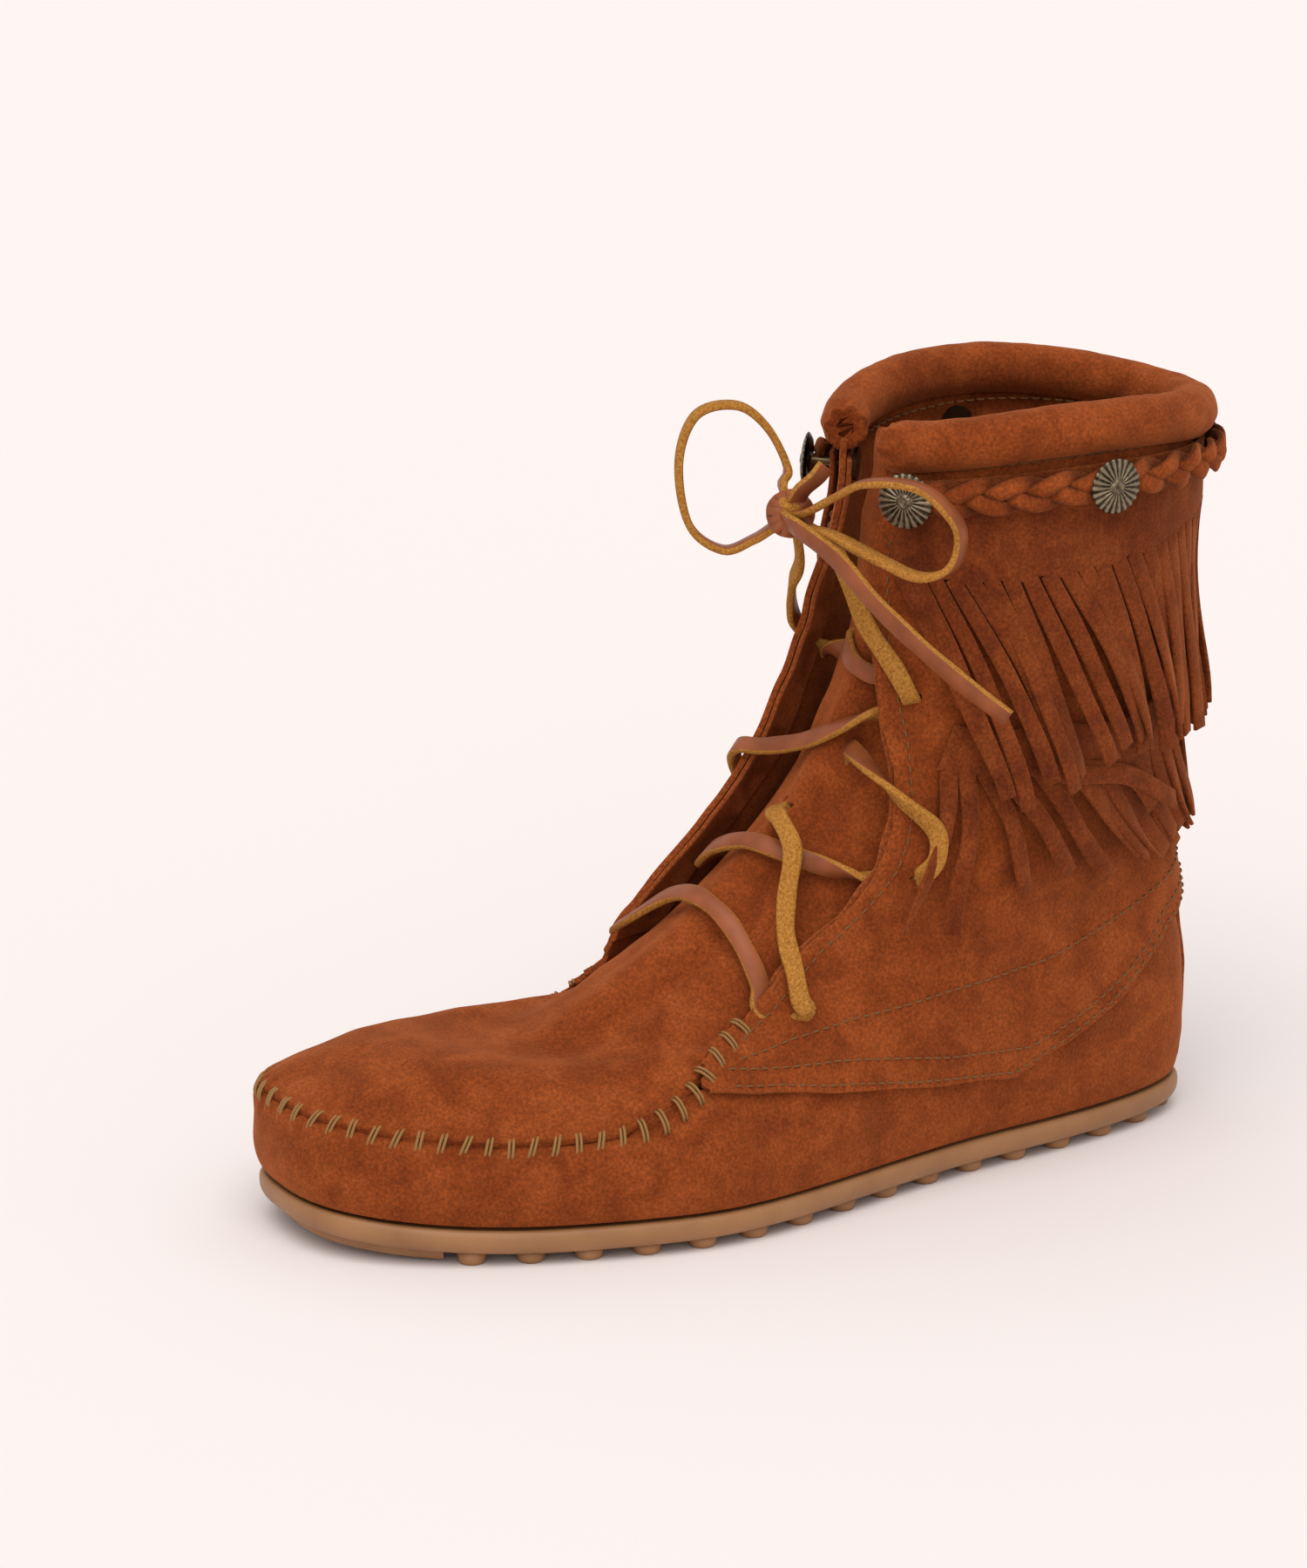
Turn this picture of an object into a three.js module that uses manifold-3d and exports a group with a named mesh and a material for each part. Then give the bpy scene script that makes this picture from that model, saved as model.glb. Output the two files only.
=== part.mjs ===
// Fringed lace-up ankle moccasin, left foot, made as the separate pieces it is sewn from.
// Millimetres. Toe towards -Y, heel towards +Y, outer (lateral) side +X, +Z up, ground at Z = 0.
// The origin is on the ground under the middle of the sole.
//
// Every leather piece is cut from one shared skin: skin(angle, level) is a point on the outside of
// the foot part. The angle goes once around, 0 at the toe, 90 on the lateral side, 180 at the heel.
// The level climbs from -1, the margin turned under the foot, to 10, the top edge of the shaft.
import * as THREE from 'three';
import { mergeVertices } from 'three/addons/utils/BufferGeometryUtils.js';
import Module from 'manifold-3d';

const wasm = await Module();
wasm.setup();

// ---------- driving dimensions ----------
const soleLength = 262;
const ballHalfWidth = 48.5; // half width of the upper at its bottom edge
const heelHalfWidth = 33.5;
const toeShift = -12; // the toe leans to the medial side
const toeSpring = 4; // lift of the toe tip
const springLength = 56;

const treadHeight = 2.5;
const soleTop = 9.5;
const soleLip = 1.8; // how far the rubber stands out past the upper
const nubRadius = 4;
const nubPitch = 15;
const toeBlockLength = 30;

const shaftHeight = 192; // top edge of the shaft leather at the front and back
const shaftHalfWidth = 35;
const collarArch = 6; // the top edge rises this much at the sides
const ankleHeight = 80;

const leather = 1.6;
const facingLeather = 1.2;
const fringeLeather = 1.3;
const gap = 0.3; // between touching pieces
const layerGap = 0.6; // between stacked leather layers
const lapGap = 0.3; // more where the quarters lap over the vamp

const footbedThickness = 3;
const facingAngle = 16;
const stayHalfAngle = 4.5;
const lateralFlapLift = 3;
const medialFlapLift = 6;

const collarHeight = 9.6;
const collarHalfThickness = 6.3;
const collarLeather = 1.4;
const collarLeg = 3.4; // how far the cover reaches down over the shaft's edge
const collarStart = 18; // angle of the cut ends either side of the opening

const braidDrop = 10.9; // the braid's middle below the shaft's edge
const braidStart = 31.6;
const braidHalfWidth = 2.9;
const braidDepth = 1.8;
const braidTurns = 8;
const strandWidth = 3;
const strandThickness = 1.4;

const conchoRadius = 7;
const conchoHeight = 2.2;
const bossRadius = 1.7;
const postRadius = 1;
const rivetDiscRadius = 4.5;
const rivetDiscThickness = 1;
const conchoAngles = { lateral_front: 31.6, lateral_rear: 91.5, medial_rear: 268.5, medial_front: 328.4 };

const fringeGap = 1.3; // the fringe lies this far off the shaft
const slitWidth = 1.1; // the cut between two strips
const stripSteps = 3;
const bandInset = 0.25; // the band that joins the strips is a little thinner than they are
const bandDepth = 3;
const bandEnd = 0.3; // how far its ends stop short of the zone, in strips
const headerClearance = 3.0; // between the collar's legs and the upper header
const hingeClearance = 0.9; // between a header and the band that swings under it

const laceRadius = 1.7;
const knotRadius = 6;

// ---------- materials ----------
const paint = (color, roughness, metalness = 0) => (
  new THREE.MeshStandardMaterial({ color, roughness, metalness }));
const suede = paint(0xa0481c, 0.95);
const darkSuede = paint(0x8a3c18, 0.95);
const lining = paint(0x93512b, 0.9);
const gumRubber = paint(0xa9794e, 0.6);
const foam = paint(0xd8cbb0, 1);
const brass = paint(0x5b5a4a, 0.4, 1);
const laceLeather = paint(0xa5694a, 0.6);

// ---------- small helpers ----------
const clamp = (value, low, high) => Math.min(Math.max(value, low), high);
const mix = (a, b, t) => a + (b - a) * t;
const ease = (t) => {
  const c = clamp(t, 0, 1);
  return c * c * (3 - 2 * c);
};
const radians = THREE.MathUtils.degToRad;
const span = (count) => Array.from({ length: count + 1 }, (_, i) => i / count);

// Straight lines between [at, value] knots.
function along(knots, at) {
  const next = knots.findIndex(([x]) => x >= at);
  if (next === 0) return knots[0][1];
  if (next < 0) return knots[knots.length - 1][1];
  const [x0, y0] = knots[next - 1];
  const [x1, y1] = knots[next];
  return mix(y0, y1, (at - x0) / (x1 - x0));
}

// ---------- the shared skin ----------
const halfLength = soleLength / 2;
const upperBase = soleTop + gap;
const shaftRise = (share) => ankleHeight + share * (shaftHeight - ankleHeight);

// front and back: [distance in from the toe or heel tip, height]; side: height;
// wide: half widths at the ball and the heel; round: exponents of the outline across and along.
const levels = [
  { front: [12, upperBase], side: upperBase, back: [12, upperBase], wide: [-9.5, -8.5], round: [0.72, 0.86] },
  { front: [1.5, upperBase + 0.2], side: upperBase + 0.2, back: [1.5, upperBase + 0.2],
    wide: [0, 0], round: [0.72, 0.86] },
  { front: [-1.5, 24], side: 20, back: [-0.5, 24], wide: [2.5, 2.5], round: [0.72, 0.86] },
  { front: [1.5, 39], side: 30, back: [0, 42], wide: [-0.5, 3.5], round: [0.74, 0.86] },
  { front: [18, 47.5], side: 40, back: [2, 60], wide: [-6.5, 3.5], round: [0.8, 0.88] },
  { front: [41, 51], side: 51, back: [4.5, 77], wide: [-11.5, 3], round: [0.86, 0.92] },
  { front: [69, 51.5], side: 63, back: [6.5, 94], shaft: [-2, 1], round: [0.9, 0.95] },
  { front: [99, 68], side: 81, back: [7, 112], shaft: [-4, 0.5], round: [0.95, 0.97] },
  { front: [138, shaftRise(0.205)], side: shaftRise(0.23), back: [7, shaftRise(0.48)],
    shaft: [-4, 0.5], round: [1, 1] },
  { front: [158, shaftRise(0.52)], side: shaftRise(0.52), back: [5.5, shaftRise(0.7)],
    shaft: [-3, 0.5], round: [1, 1] },
  { front: [163, shaftRise(0.78)], side: shaftRise(0.79), back: [3, shaftRise(0.86)],
    shaft: [-3, 0], round: [1, 1] },
  { front: [165, shaftHeight], side: shaftHeight + collarArch, back: [2, shaftHeight],
    shaft: [-3, 0], round: [1, 1] },
];
const firstLevel = -1;
const lastLevel = levels.length + firstLevel - 1;

const spring = (y) => toeSpring * clamp((springLength - halfLength - y) / springLength, 0, 1) ** 2;

function ringPoint(row, angle) {
  const cos = Math.cos(radians(angle));
  const sin = Math.sin(radians(angle));
  const [across, lengthwise] = row.round;
  const front = row.front[0] - halfLength;
  const back = halfLength - row.back[0];
  const y = (front + back) / 2 - ((back - front) / 2) * Math.sign(cos) * Math.abs(cos) ** lengthwise;
  const toeward = (halfLength - y) / soleLength;
  const [ball, heel] = row.shaft
    ? row.shaft.map((extra) => shaftHalfWidth + extra)
    : [ballHalfWidth + row.wide[0], heelHalfWidth + row.wide[1]];
  const halfWidth = mix(heel, ball, ease((toeward - 0.25) / 0.42));
  const lean = toeShift * clamp((toeward - 0.6) / 0.4, 0, 1) ** 1.5;
  const swell = 2 * Math.exp(-(((toeward - 0.6) / 0.18) ** 2));
  const x = lean + swell + halfWidth * Math.sign(sin) * Math.abs(sin) ** across;
  const [front_z, back_z] = [row.front[1], row.back[1]];
  const flat = front_z < soleTop + 2;
  const z = row.side + ((front_z - back_z) / 2) * cos + ((front_z + back_z) / 2 - row.side) * cos * cos;
  return new THREE.Vector3(x, y, z + (flat ? spring(y) : 0));
}

function skin(angle, level) {
  const at = clamp(level - firstLevel, 0, levels.length - 1 - 1e-6);
  const row = Math.floor(at);
  const f = at - row;
  const [p0, p1, p2, p3] = [-1, 0, 1, 2].map((step) => (
    ringPoint(levels[clamp(row + step, 0, levels.length - 1)], angle)));
  if (row === 0) return p1.lerp(p2, f); // the turned margin lies flat
  const blend = (a, b, c, d) => 0.5 * (2 * b + (c - a) * f + (2 * a - 5 * b + 4 * c - d) * f * f
    + (3 * b - a - 3 * c + d) * f ** 3);
  const [x, y, z] = ['x', 'y', 'z'].map((axis) => blend(p0[axis], p1[axis], p2[axis], p3[axis]));
  return new THREE.Vector3(x, y, z);
}

function skinNormal(angle, level) {
  const around = skin(angle + 0.5, level).sub(skin(angle - 0.5, level));
  const above = skin(angle, Math.min(level + 0.02, lastLevel));
  const climb = above.sub(skin(angle, Math.max(level - 0.02, firstLevel)));
  return around.cross(climb).normalize();
}

const offSkin = (angle, level, out) => skin(angle, level).addScaledVector(skinNormal(angle, level), out);

// The level this many millimetres below another one.
function below(angle, level, drop) {
  const from = skin(angle, level);
  let found = level - 0.3;
  for (let step = 0; step < 12; step += 1) {
    found = level - (level - found) * drop / from.distanceTo(skin(angle, found));
  }
  return found;
}

// ---------- solids ----------
// Joins rings of equal point count into one closed body; its ends are closed by rungs across each ring.
function loft(rings, closed = false) {
  const count = rings[0].length;
  const points = rings.flat();
  const faces = [];
  const at = (ring, j) => (ring % rings.length) * count + (j % count);
  const last = closed ? rings.length : rings.length - 1;
  for (let i = 0; i < last; i += 1) {
    for (let j = 0; j < count; j += 1) {
      const corners = [at(i, j), at(i, j + 1), at(i + 1, j + 1), at(i + 1, j)];
      // the two sides of a sheet share their diagonals, so stacked sheets stay parallel
      const [a, b, c, d] = j < count / 2 - 1 ? corners : [...corners.slice(1), corners[0]];
      faces.push([a, b, c], [a, c, d]);
    }
  }
  if (!closed) {
    const end = rings.length - 1;
    for (let j = 0; j < count / 2 - 1; j += 1) {
      const far = count - 1 - j;
      faces.push([at(0, j + 1), at(0, j), at(0, far)], [at(0, j + 1), at(0, far), at(0, far - 1)]);
      faces.push([at(end, j), at(end, j + 1), at(end, far)], [at(end, j + 1), at(end, far - 1), at(end, far)]);
    }
  }
  const volume = faces.reduce((sum, [a, b, c]) => (
    sum + points[a].dot(new THREE.Vector3().crossVectors(points[b], points[c]))), 0);
  const index = faces.flatMap(([a, b, c]) => (volume > 0 ? [a, b, c] : [a, c, b]));
  const geometry = new THREE.BufferGeometry();
  geometry.setAttribute('position', new THREE.Float32BufferAttribute(points.flatMap((p) => p.toArray()), 3));
  geometry.setIndex(index);
  return geometry;
}

// A piece of leather: place(u, v) gives its [angle, level], outer and inner the two offsets from the skin.
function sheet(place, across, up, outer, inner) {
  return loft(across.map((u) => {
    const spots = up.map((v) => place(u, v));
    const outside = spots.map(([angle, level]) => offSkin(angle, level, outer(angle, level)));
    const inside = spots.map(([angle, level]) => offSkin(angle, level, inner(angle, level)));
    return [...outside, ...inside.reverse()];
  }));
}

function solid(geometry) {
  const bare = geometry.clone();
  bare.deleteAttribute('normal');
  bare.deleteAttribute('uv');
  const merged = mergeVertices(bare, 1e-4);
  return new wasm.Manifold(new wasm.Mesh({
    numProp: 3,
    vertProperties: new Float32Array(merged.attributes.position.array),
    triVerts: new Uint32Array(merged.index.array),
  }));
}

function shape(manifold) {
  const mesh = manifold.getMesh();
  const geometry = new THREE.BufferGeometry();
  geometry.setAttribute('position', new THREE.Float32BufferAttribute(mesh.vertProperties, 3));
  geometry.setIndex(Array.from(mesh.triVerts));
  return geometry;
}

const join = (pieces) => shape(pieces.slice(1).reduce((sum, piece) => sum.add(solid(piece)), solid(pieces[0])));
const cut = (piece, tools) => shape(tools.reduce((rest, tool) => rest.subtract(solid(tool)), solid(piece)));

function tube(points, radius, steps, sides = 8) {
  const path = new THREE.CatmullRomCurve3(points.map((p) => new THREE.Vector3(...p)), false, 'centripetal');
  const section = new THREE.Shape(Array.from({ length: sides }, (_, k) => {
    const turn = (2 * Math.PI * k) / sides;
    return new THREE.Vector2(radius * Math.cos(turn), radius * Math.sin(turn));
  }));
  return new THREE.ExtrudeGeometry(section, { steps, extrudePath: path, curveSegments: sides });
}

const model = new THREE.Group();
function add(name, geometry, material) {
  const mesh = new THREE.Mesh(geometry, material);
  mesh.name = name;
  model.add(mesh);
  return mesh;
}

// ---------- sole ----------
const outlineAngles = Array.from({ length: 48 }, (_, k) => ((k + 0.5) * 360) / 48);

// The sole outline grown sideways by `grow`, at height z, following the toe spring.
function soleRing(grow, z) {
  return outlineAngles.map((angle) => {
    const point = ringPoint(levels[1], angle);
    const outward = skinNormal(angle, 0.5).setZ(0).normalize();
    point.addScaledVector(outward, grow);
    return point.setZ(z + spring(point.y));
  });
}

function insideSole(x, y, margin) {
  return soleRing(-margin, 0).some((point, k, ring) => {
    const mate = ring[ring.length - 1 - k];
    const next = ring[k + 1];
    return next && point.x > mate.x && y >= point.y && y < next.y && x < point.x && x > mate.x;
  });
}

function toeBlock() {
  const ring = soleRing(-5, 0);
  const rungs = ring.slice(0, ring.length / 2).map((right, k) => [right, ring[ring.length - 1 - k]]);
  const kept = rungs.filter(([right]) => right.y < toeBlockLength - halfLength);
  return loft(kept.map(([right, left]) => {
    const low = spring(right.y);
    const high = low + treadHeight + 0.4;
    return [
      new THREE.Vector3(right.x, right.y, high),
      new THREE.Vector3(left.x, left.y, high),
      new THREE.Vector3(left.x, left.y, low),
      new THREE.Vector3(right.x, right.y, low),
    ];
  }));
}

function nubs() {
  const pieces = [];
  const rows = Math.floor(halfLength / nubPitch);
  const columns = Math.floor(ballHalfWidth / nubPitch);
  for (let row = -rows; row <= rows; row += 1) {
    for (let column = -columns; column <= columns; column += 1) {
      const x = (column + (row % 2 ? 0.5 : 0)) * nubPitch;
      const y = row * nubPitch;
      const clearOfBlock = y > toeBlockLength - halfLength + nubRadius + 2;
      if (clearOfBlock && insideSole(x, y, nubRadius + 3)) {
        const height = treadHeight + 0.4 + spring(y);
        const nub = new THREE.CylinderGeometry(nubRadius, nubRadius - 0.6, height, 6);
        nub.rotateX(Math.PI / 2);
        nub.translate(x, y, height / 2);
        pieces.push(nub);
      }
    }
  }
  return pieces;
}

function outsole() {
  const profile = [
    [-2, treadHeight],
    [0.6, treadHeight + 1.2],
    [soleLip, treadHeight + 3.4],
    [soleLip, soleTop - 1.6],
    [soleLip - 1, soleTop],
  ];
  const slab = loft(profile.map(([grow, z]) => soleRing(grow, z)));
  return join([slab, toeBlock(), ...nubs()]);
}

function footbed() {
  const base = upperBase + leather + gap;
  const profile = [[-leather - gap, 0], [-leather - gap, 1], [-leather - 1, footbedThickness]];
  return loft(profile.map(([grow, z]) => soleRing(grow - 1.2, base + z)));
}

// ---------- foot part ----------
const vampTop = [
  [0, 1.82], [50, 1.82], [60, 1.9], [66, 2.05], [69, 2.9], [72, 3.3], [82, 3.2], [98, 2.6],
  [114, 2.05], [122, 2.4], [133, 2.8], [150, 3.4], [165, 3.6], [180, 3.6],
];

function vamp() {
  const halves = [...span(20).map((t) => t * 179.8), 63.5, 66, 69, 71.5].sort((a, b) => a - b);
  const angles = [...halves.slice(1).map((a) => -a).reverse(), ...halves];
  const wall = 0.1;
  const place = (angle, v) => {
    const top = along(vampTop, Math.abs(angle));
    return [angle, v < 0 ? mix(wall, -0.8, -v) : mix(wall, top, v)];
  };
  return sheet(place, angles, [-1, -0.5, 0, 0.33, 0.67, 1], () => 0, () => -leather);
}

const plugEdge = [
  [1.88, 50], [1.96, 60], [2.12, 65], [2.9, 68.5], [3.6, 67.5], [4.25, 66], [4.9, 62], [5.5, 64],
  [6.2, 68], [7.2, 60], [8.2, 42], [9, 36], [10, 34],
];
const tongueDrop = [
  [1.8, gap], [3.4, gap], [4.4, 1.7], [5.4, 2], [6.6, 3.6], [7.2, 5], [9.2, 5], [9.6, 6.8], [10, 6.8],
];

function plugTongue() {
  const stations = [1.88, 1.96, 2.12, 2.5, 2.9, 3.5, 4.2, 4.9, 5.5, 6.1, 6.7, 7.3, 7.9, 8.5, 9.2, 9.6, 10];
  const place = (level, u) => [mix(-1, 1, u) * along(plugEdge, level), level];
  const outer = (_, level) => -along(tongueDrop, level);
  return sheet(place, stations, span(12), outer, (angle, level) => outer(angle, level) - leather);
}

// ---------- shaft ----------
const quarterBottom = [
  [72, 3], [82, 2.8], [98, 2.07], [114, 1.55], [122, 1.9], [133, 2.27], [150, 2.95], [165, 3.2], [180, 3.25],
];
const flaps = {
  lateral: {
    side: 1,
    lift: lateralFlapLift,
    edge: [[3, 72], [4.1, 64], [4.8, 61], [5.4, 58], [5.9, 57], [6.2, 60], [6.6, 58], [7.2, 47], [7.7, 32],
      [8.2, 21], [9, 15], [10, 17]],
  },
  medial: {
    side: -1,
    lift: medialFlapLift,
    edge: [[3, 72], [4.1, 64], [5, 52], [5.6, 42], [6.2, 33], [6.8, 28], [7.4, 26], [8, 23], [9, 16], [10, 17]],
  },
};

// The free edge of a flap curls away from the tongue.
function flapLift(flap, angle, level) {
  const fromEdge = Math.abs(angle) - along(flap.edge, level);
  return flap.lift * ease(1 - fromEdge / 24) * ease((level - 4.6) / 1.8) * ease((9.4 - level) / 1.2);
}

const flapInner = (flap) => (angle, level) => (
  layerGap + lapGap * ease(4.4 - level) + flapLift(flap, angle, level));
const shaftLevels = [4.5, 5, 5.5, 6, 6.5, 7, 7.5, 8, 8.5, 9.1, 9.72];
const edgeColumns = [0, 8, facingAngle]; // degrees back from the free edge

function quarter(flap) {
  // column: below 3 a step back from the free edge, above it a share of the rest of the way round
  const angleAt = (column, level) => {
    const edge = along(flap.edge, level);
    return column < 3 ? edge + edgeColumns[column] : mix(edge + facingAngle, 179.7, (column - 2) / 10);
  };
  const place = (column, row) => {
    if (row > 3) return [flap.side * angleAt(column, row), row];
    let bottom = 2.5;
    for (let pass = 0; pass < 20; pass += 1) {
      bottom = mix(bottom, along(quarterBottom, angleAt(column, bottom)), 0.6);
    }
    const level = mix(bottom, shaftLevels[0], row / 3);
    return [flap.side * angleAt(column, level), level];
  };
  const inner = flapInner(flap);
  const columns = Array.from({ length: 13 }, (_, column) => column);
  const rows = [0, 1, 2, ...shaftLevels, lastLevel];
  return sheet(place, columns, rows, (angle, level) => inner(angle, level) + leather, inner);
}

function facing(flap) {
  const outer = (angle, level) => flapInner(flap)(angle, level) - gap;
  const place = (back, level) => [flap.side * (along(flap.edge, level) + back), level];
  const inner = (angle, level) => outer(angle, level) - facingLeather;
  return sheet(place, edgeColumns, shaftLevels.slice(2), outer, inner);
}

function backStay() {
  const place = (u, v) => [180 + mix(-stayHalfAngle, stayHalfAngle, u), mix(0.1, 3.05, v)];
  return sheet(place, span(2), span(5), () => layerGap + leather, () => layerGap);
}

// ---------- collar ----------
const quarterOuter = layerGap + leather;
const belowEdge = (drop) => below(90, lastLevel, drop);
const braidLevel = belowEdge(braidDrop);
const headerLevel = belowEdge(collarLeg + headerClearance);
const collarAngles = span(30).map((t) => mix(collarStart, 360 - collarStart, t));

// Points of a section standing on the shaft's top edge: [out from its middle, up].
function collarRing(angle, section) {
  const middle = offSkin(angle, lastLevel, layerGap + leather / 2);
  middle.z = skin(angle, lastLevel).z;
  const out = skinNormal(angle, lastLevel).setZ(0).normalize();
  return section.map(([away, up]) => middle.clone().addScaledVector(out, away).add(new THREE.Vector3(0, 0, up)));
}

function collarCover() {
  const leg = leather / 2 + 0.5;
  const half = [
    [leg + collarLeather, -collarLeg], [collarHalfThickness - 1.6, -1.2], [collarHalfThickness, 2.8],
    [collarHalfThickness - 1.5, collarHeight - 2.1],
  ];
  const halfInside = [
    [leg, -collarLeg], [collarHalfThickness - 2.9, -0.2], [collarHalfThickness - collarLeather, 2.8],
    [collarHalfThickness - 2.5, collarHeight - 3.1],
  ];
  const mirror = (points) => points.map(([away, up]) => [-away, up]).reverse();
  const outside = [...half, [0, collarHeight], ...mirror(half)];
  const inside = [...halfInside, [0, collarHeight - collarLeather], ...mirror(halfInside)].reverse();
  return loft(collarAngles.map((angle) => collarRing(angle, [...outside, ...inside])));
}

function collarFoam() {
  const half = collarHalfThickness - collarLeather - gap - 0.2;
  const top = collarHeight - collarLeather - gap - 0.4;
  const section = [
    [half - 1.4, 0.5], [half, 2.5], [half - 1.3, top - 1.3], [0, top],
    [1.3 - half, top - 1.3], [-half, 2.5], [1.4 - half, 0.5], [0, gap + 0.2],
  ];
  return loft(collarAngles.map((angle) => collarRing(angle, section)));
}

// ---------- fringe ----------
// Distance round from the toe, the same on both sides.
const fromToe = (angle) => (angle > 180 ? 360 - angle : angle);

// Two tiers. Each has a fixed header sewn to the shaft and strips that hang from it and swing.
const fringeInner = (angle, level) => {
  const flap = angle > 180 || angle < 0 ? flaps.medial : flaps.lateral;
  return quarterOuter + fringeGap + flapLift(flap, fromToe(Math.abs(angle)), level);
};
const tiers = {
  upper: {
    start: 26,
    top: [[0, headerLevel], [180, headerLevel]],
    slit: [[0, 8.84], [180, 8.84]],
    tip: [[60, 7.2], [110, 7.1], [180, 5.75]],
    lean: 43, hang: 5.4, strips: 34,
  },
  lower: {
    start: 56,
    top: [[44, 7.72], [90, 7.55], [140, 6.95], [180, 6.7]],
    slit: [[44, 7.4], [90, 7.2], [140, 6.6], [180, 6.35]],
    tip: [[90, 5.75], [110, 5.5], [134, 4.75], [150, 4.5], [180, 4.3]], lean: 46, hang: 2.6, strips: 32,
  },
};
const zones = {
  lateral_front: [0, 0.2],
  lateral_rear: [0.2, 0.41],
  back: [0.41, 0.59],
  medial_rear: [0.59, 0.8],
  medial_front: [0.8, 1],
};

function fringeHeader(tier) {
  const place = (u, v) => {
    const angle = mix(tier.start, 360 - tier.start, u);
    return [angle, mix(along(tier.slit, fromToe(angle)), along(tier.top, fromToe(angle)), v)];
  };
  const outer = (angle, level) => fringeInner(angle, level) + fringeLeather;
  return sheet(place, span(30), [0, 1], outer, fringeInner);
}

// One strip: it leaves the header, leans back and hangs clear of the shaft.
function stripPlace(tier, angle, t, drop) {
  const from = fromToe(angle);
  const to = from + tier.lean * (1 - clamp((from - tier.start) / (180 - tier.start), 0, 1) ** 1.5);
  const level = mix(below(angle, along(tier.slit, from), drop), along(tier.tip, to), t);
  const at = (angle > 180 ? -1 : 1) * mix(from, to, t);
  const out = fringeInner(at, level) + fringeLeather / 2 + tier.hang * ease(t * 0.9) + 0.05;
  return { point: offSkin(at, level, out), normal: skinNormal(at, level) };
}

function fringeStrip(tier, angle, pitch) {
  const across = (t, drop) => {
    const { point, normal } = stripPlace(tier, angle, t, drop);
    const run = stripPlace(tier, angle, t + 0.05, drop).point.sub(point).normalize();
    const wide = new THREE.Vector3().crossVectors(run, normal).normalize();
    const [left, right] = [-1, 1].map((side) => stripPlace(tier, angle + (side * pitch) / 2, t, drop).point);
    return { point, normal, wide, half: (Math.abs(right.sub(left).dot(wide)) - slitWidth) / 2 };
  };
  // the top corner of a leaning strip stands higher than its middle
  const { wide: topWide, half: topHalf } = across(0, hingeClearance);
  const drop = hingeClearance + topHalf * Math.abs(topWide.z);
  return loft(span(stripSteps).map((t) => {
    const { point, normal, wide, half: ownHalf } = across(t, drop);
    const half = Math.min(topHalf, ownHalf);
    return [[1, 1], [-1, 1], [-1, -1], [1, -1]].map(([a, b]) => point.clone()
      .addScaledVector(wide, a * half)
      .addScaledVector(normal, (b * fringeLeather) / 2));
  }));
}

function fringePanel(tier, [from, to]) {
  const reach = 360 - 2 * tier.start;
  const pitch = reach / tier.strips;
  const first = Math.round(from * tier.strips);
  const last = Math.round(to * tier.strips);
  const strips = Array.from({ length: last - first }, (_, k) => (
    fringeStrip(tier, tier.start + (first + k + 0.5) * pitch, pitch)));
  const place = (u, v) => {
    const angle = tier.start + mix(first + bandEnd, last - bandEnd, u) * pitch;
    const slit = along(tier.slit, fromToe(angle));
    return [angle, below(angle, slit, hingeClearance + mix(bandDepth, 0, v))];
  };
  const inner = (at, level) => fringeInner(at, level) + bandInset;
  const outer = (at, level) => fringeInner(at, level) + fringeLeather - bandInset;
  const band = sheet(place, span(3), [0, 1], outer, inner);
  return join([band, ...strips]);
}

// ---------- braid and conchos ----------
const braidCentre = quarterOuter + fringeGap + fringeLeather + 0.4 + braidDepth + strandThickness / 2;
const conchoBase = braidCentre + braidDepth + strandThickness / 2 + gap;

function braidStrand(phase) {
  const steps = braidTurns * 6;
  return loft(span(steps).map((t) => {
    const turn = 2 * Math.PI * (t * braidTurns + phase / 3);
    const angle = mix(braidStart, 360 - braidStart, t);
    const out = skinNormal(angle, braidLevel);
    const around = skin(angle + 0.5, braidLevel).sub(skin(angle - 0.5, braidLevel)).normalize();
    const climb = new THREE.Vector3().crossVectors(out, around).normalize();
    const centre = offSkin(angle, braidLevel, braidCentre + braidDepth * Math.sin(2 * turn))
      .addScaledVector(climb, braidHalfWidth * Math.sin(turn));
    const [w, h] = [strandWidth / 2, strandThickness / 2];
    return [[w, 0], [w / 2, h], [-w / 2, h], [-w, 0], [-w / 2, -h], [w / 2, -h]].map(([a, b]) => (
      centre.clone().addScaledVector(climb, a).addScaledVector(out, b)));
  }));
}

// Stands a lathe profile on the shaft, its axis along the skin's normal.
function onShaft(profile, angle, out, sides = 16) {
  const geometry = new THREE.LatheGeometry(profile.map(([r, h]) => new THREE.Vector2(r, h)), sides);
  const normal = skinNormal(angle, braidLevel);
  geometry.applyQuaternion(new THREE.Quaternion().setFromUnitVectors(new THREE.Vector3(0, 1, 0), normal));
  const place = offSkin(angle, braidLevel, out);
  return geometry.translate(place.x, place.y, place.z);
}

const conchoProfile = [
  [0, 0], [conchoRadius, 0], [conchoRadius, 0.7], [conchoRadius * 0.7, conchoHeight * 0.8],
  [bossRadius, conchoHeight], [bossRadius, conchoHeight + 0.5], [0, conchoHeight + 0.6],
];
const rivetInside = layerGap - gap - facingLeather - gap - rivetDiscThickness;
const postTop = conchoBase - gap - rivetInside;
const rivetProfile = [
  [0, 0], [rivetDiscRadius, 0], [rivetDiscRadius, rivetDiscThickness], [postRadius, rivetDiscThickness],
  [postRadius, postTop], [0, postTop],
];
const boreProfile = [[0, 0], [postRadius + gap, 0], [postRadius + gap, postTop + 6], [0, postTop + 6]];
const bores = Object.values(conchoAngles).map((angle) => onShaft(boreProfile, angle, rivetInside - 3, 10));

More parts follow.
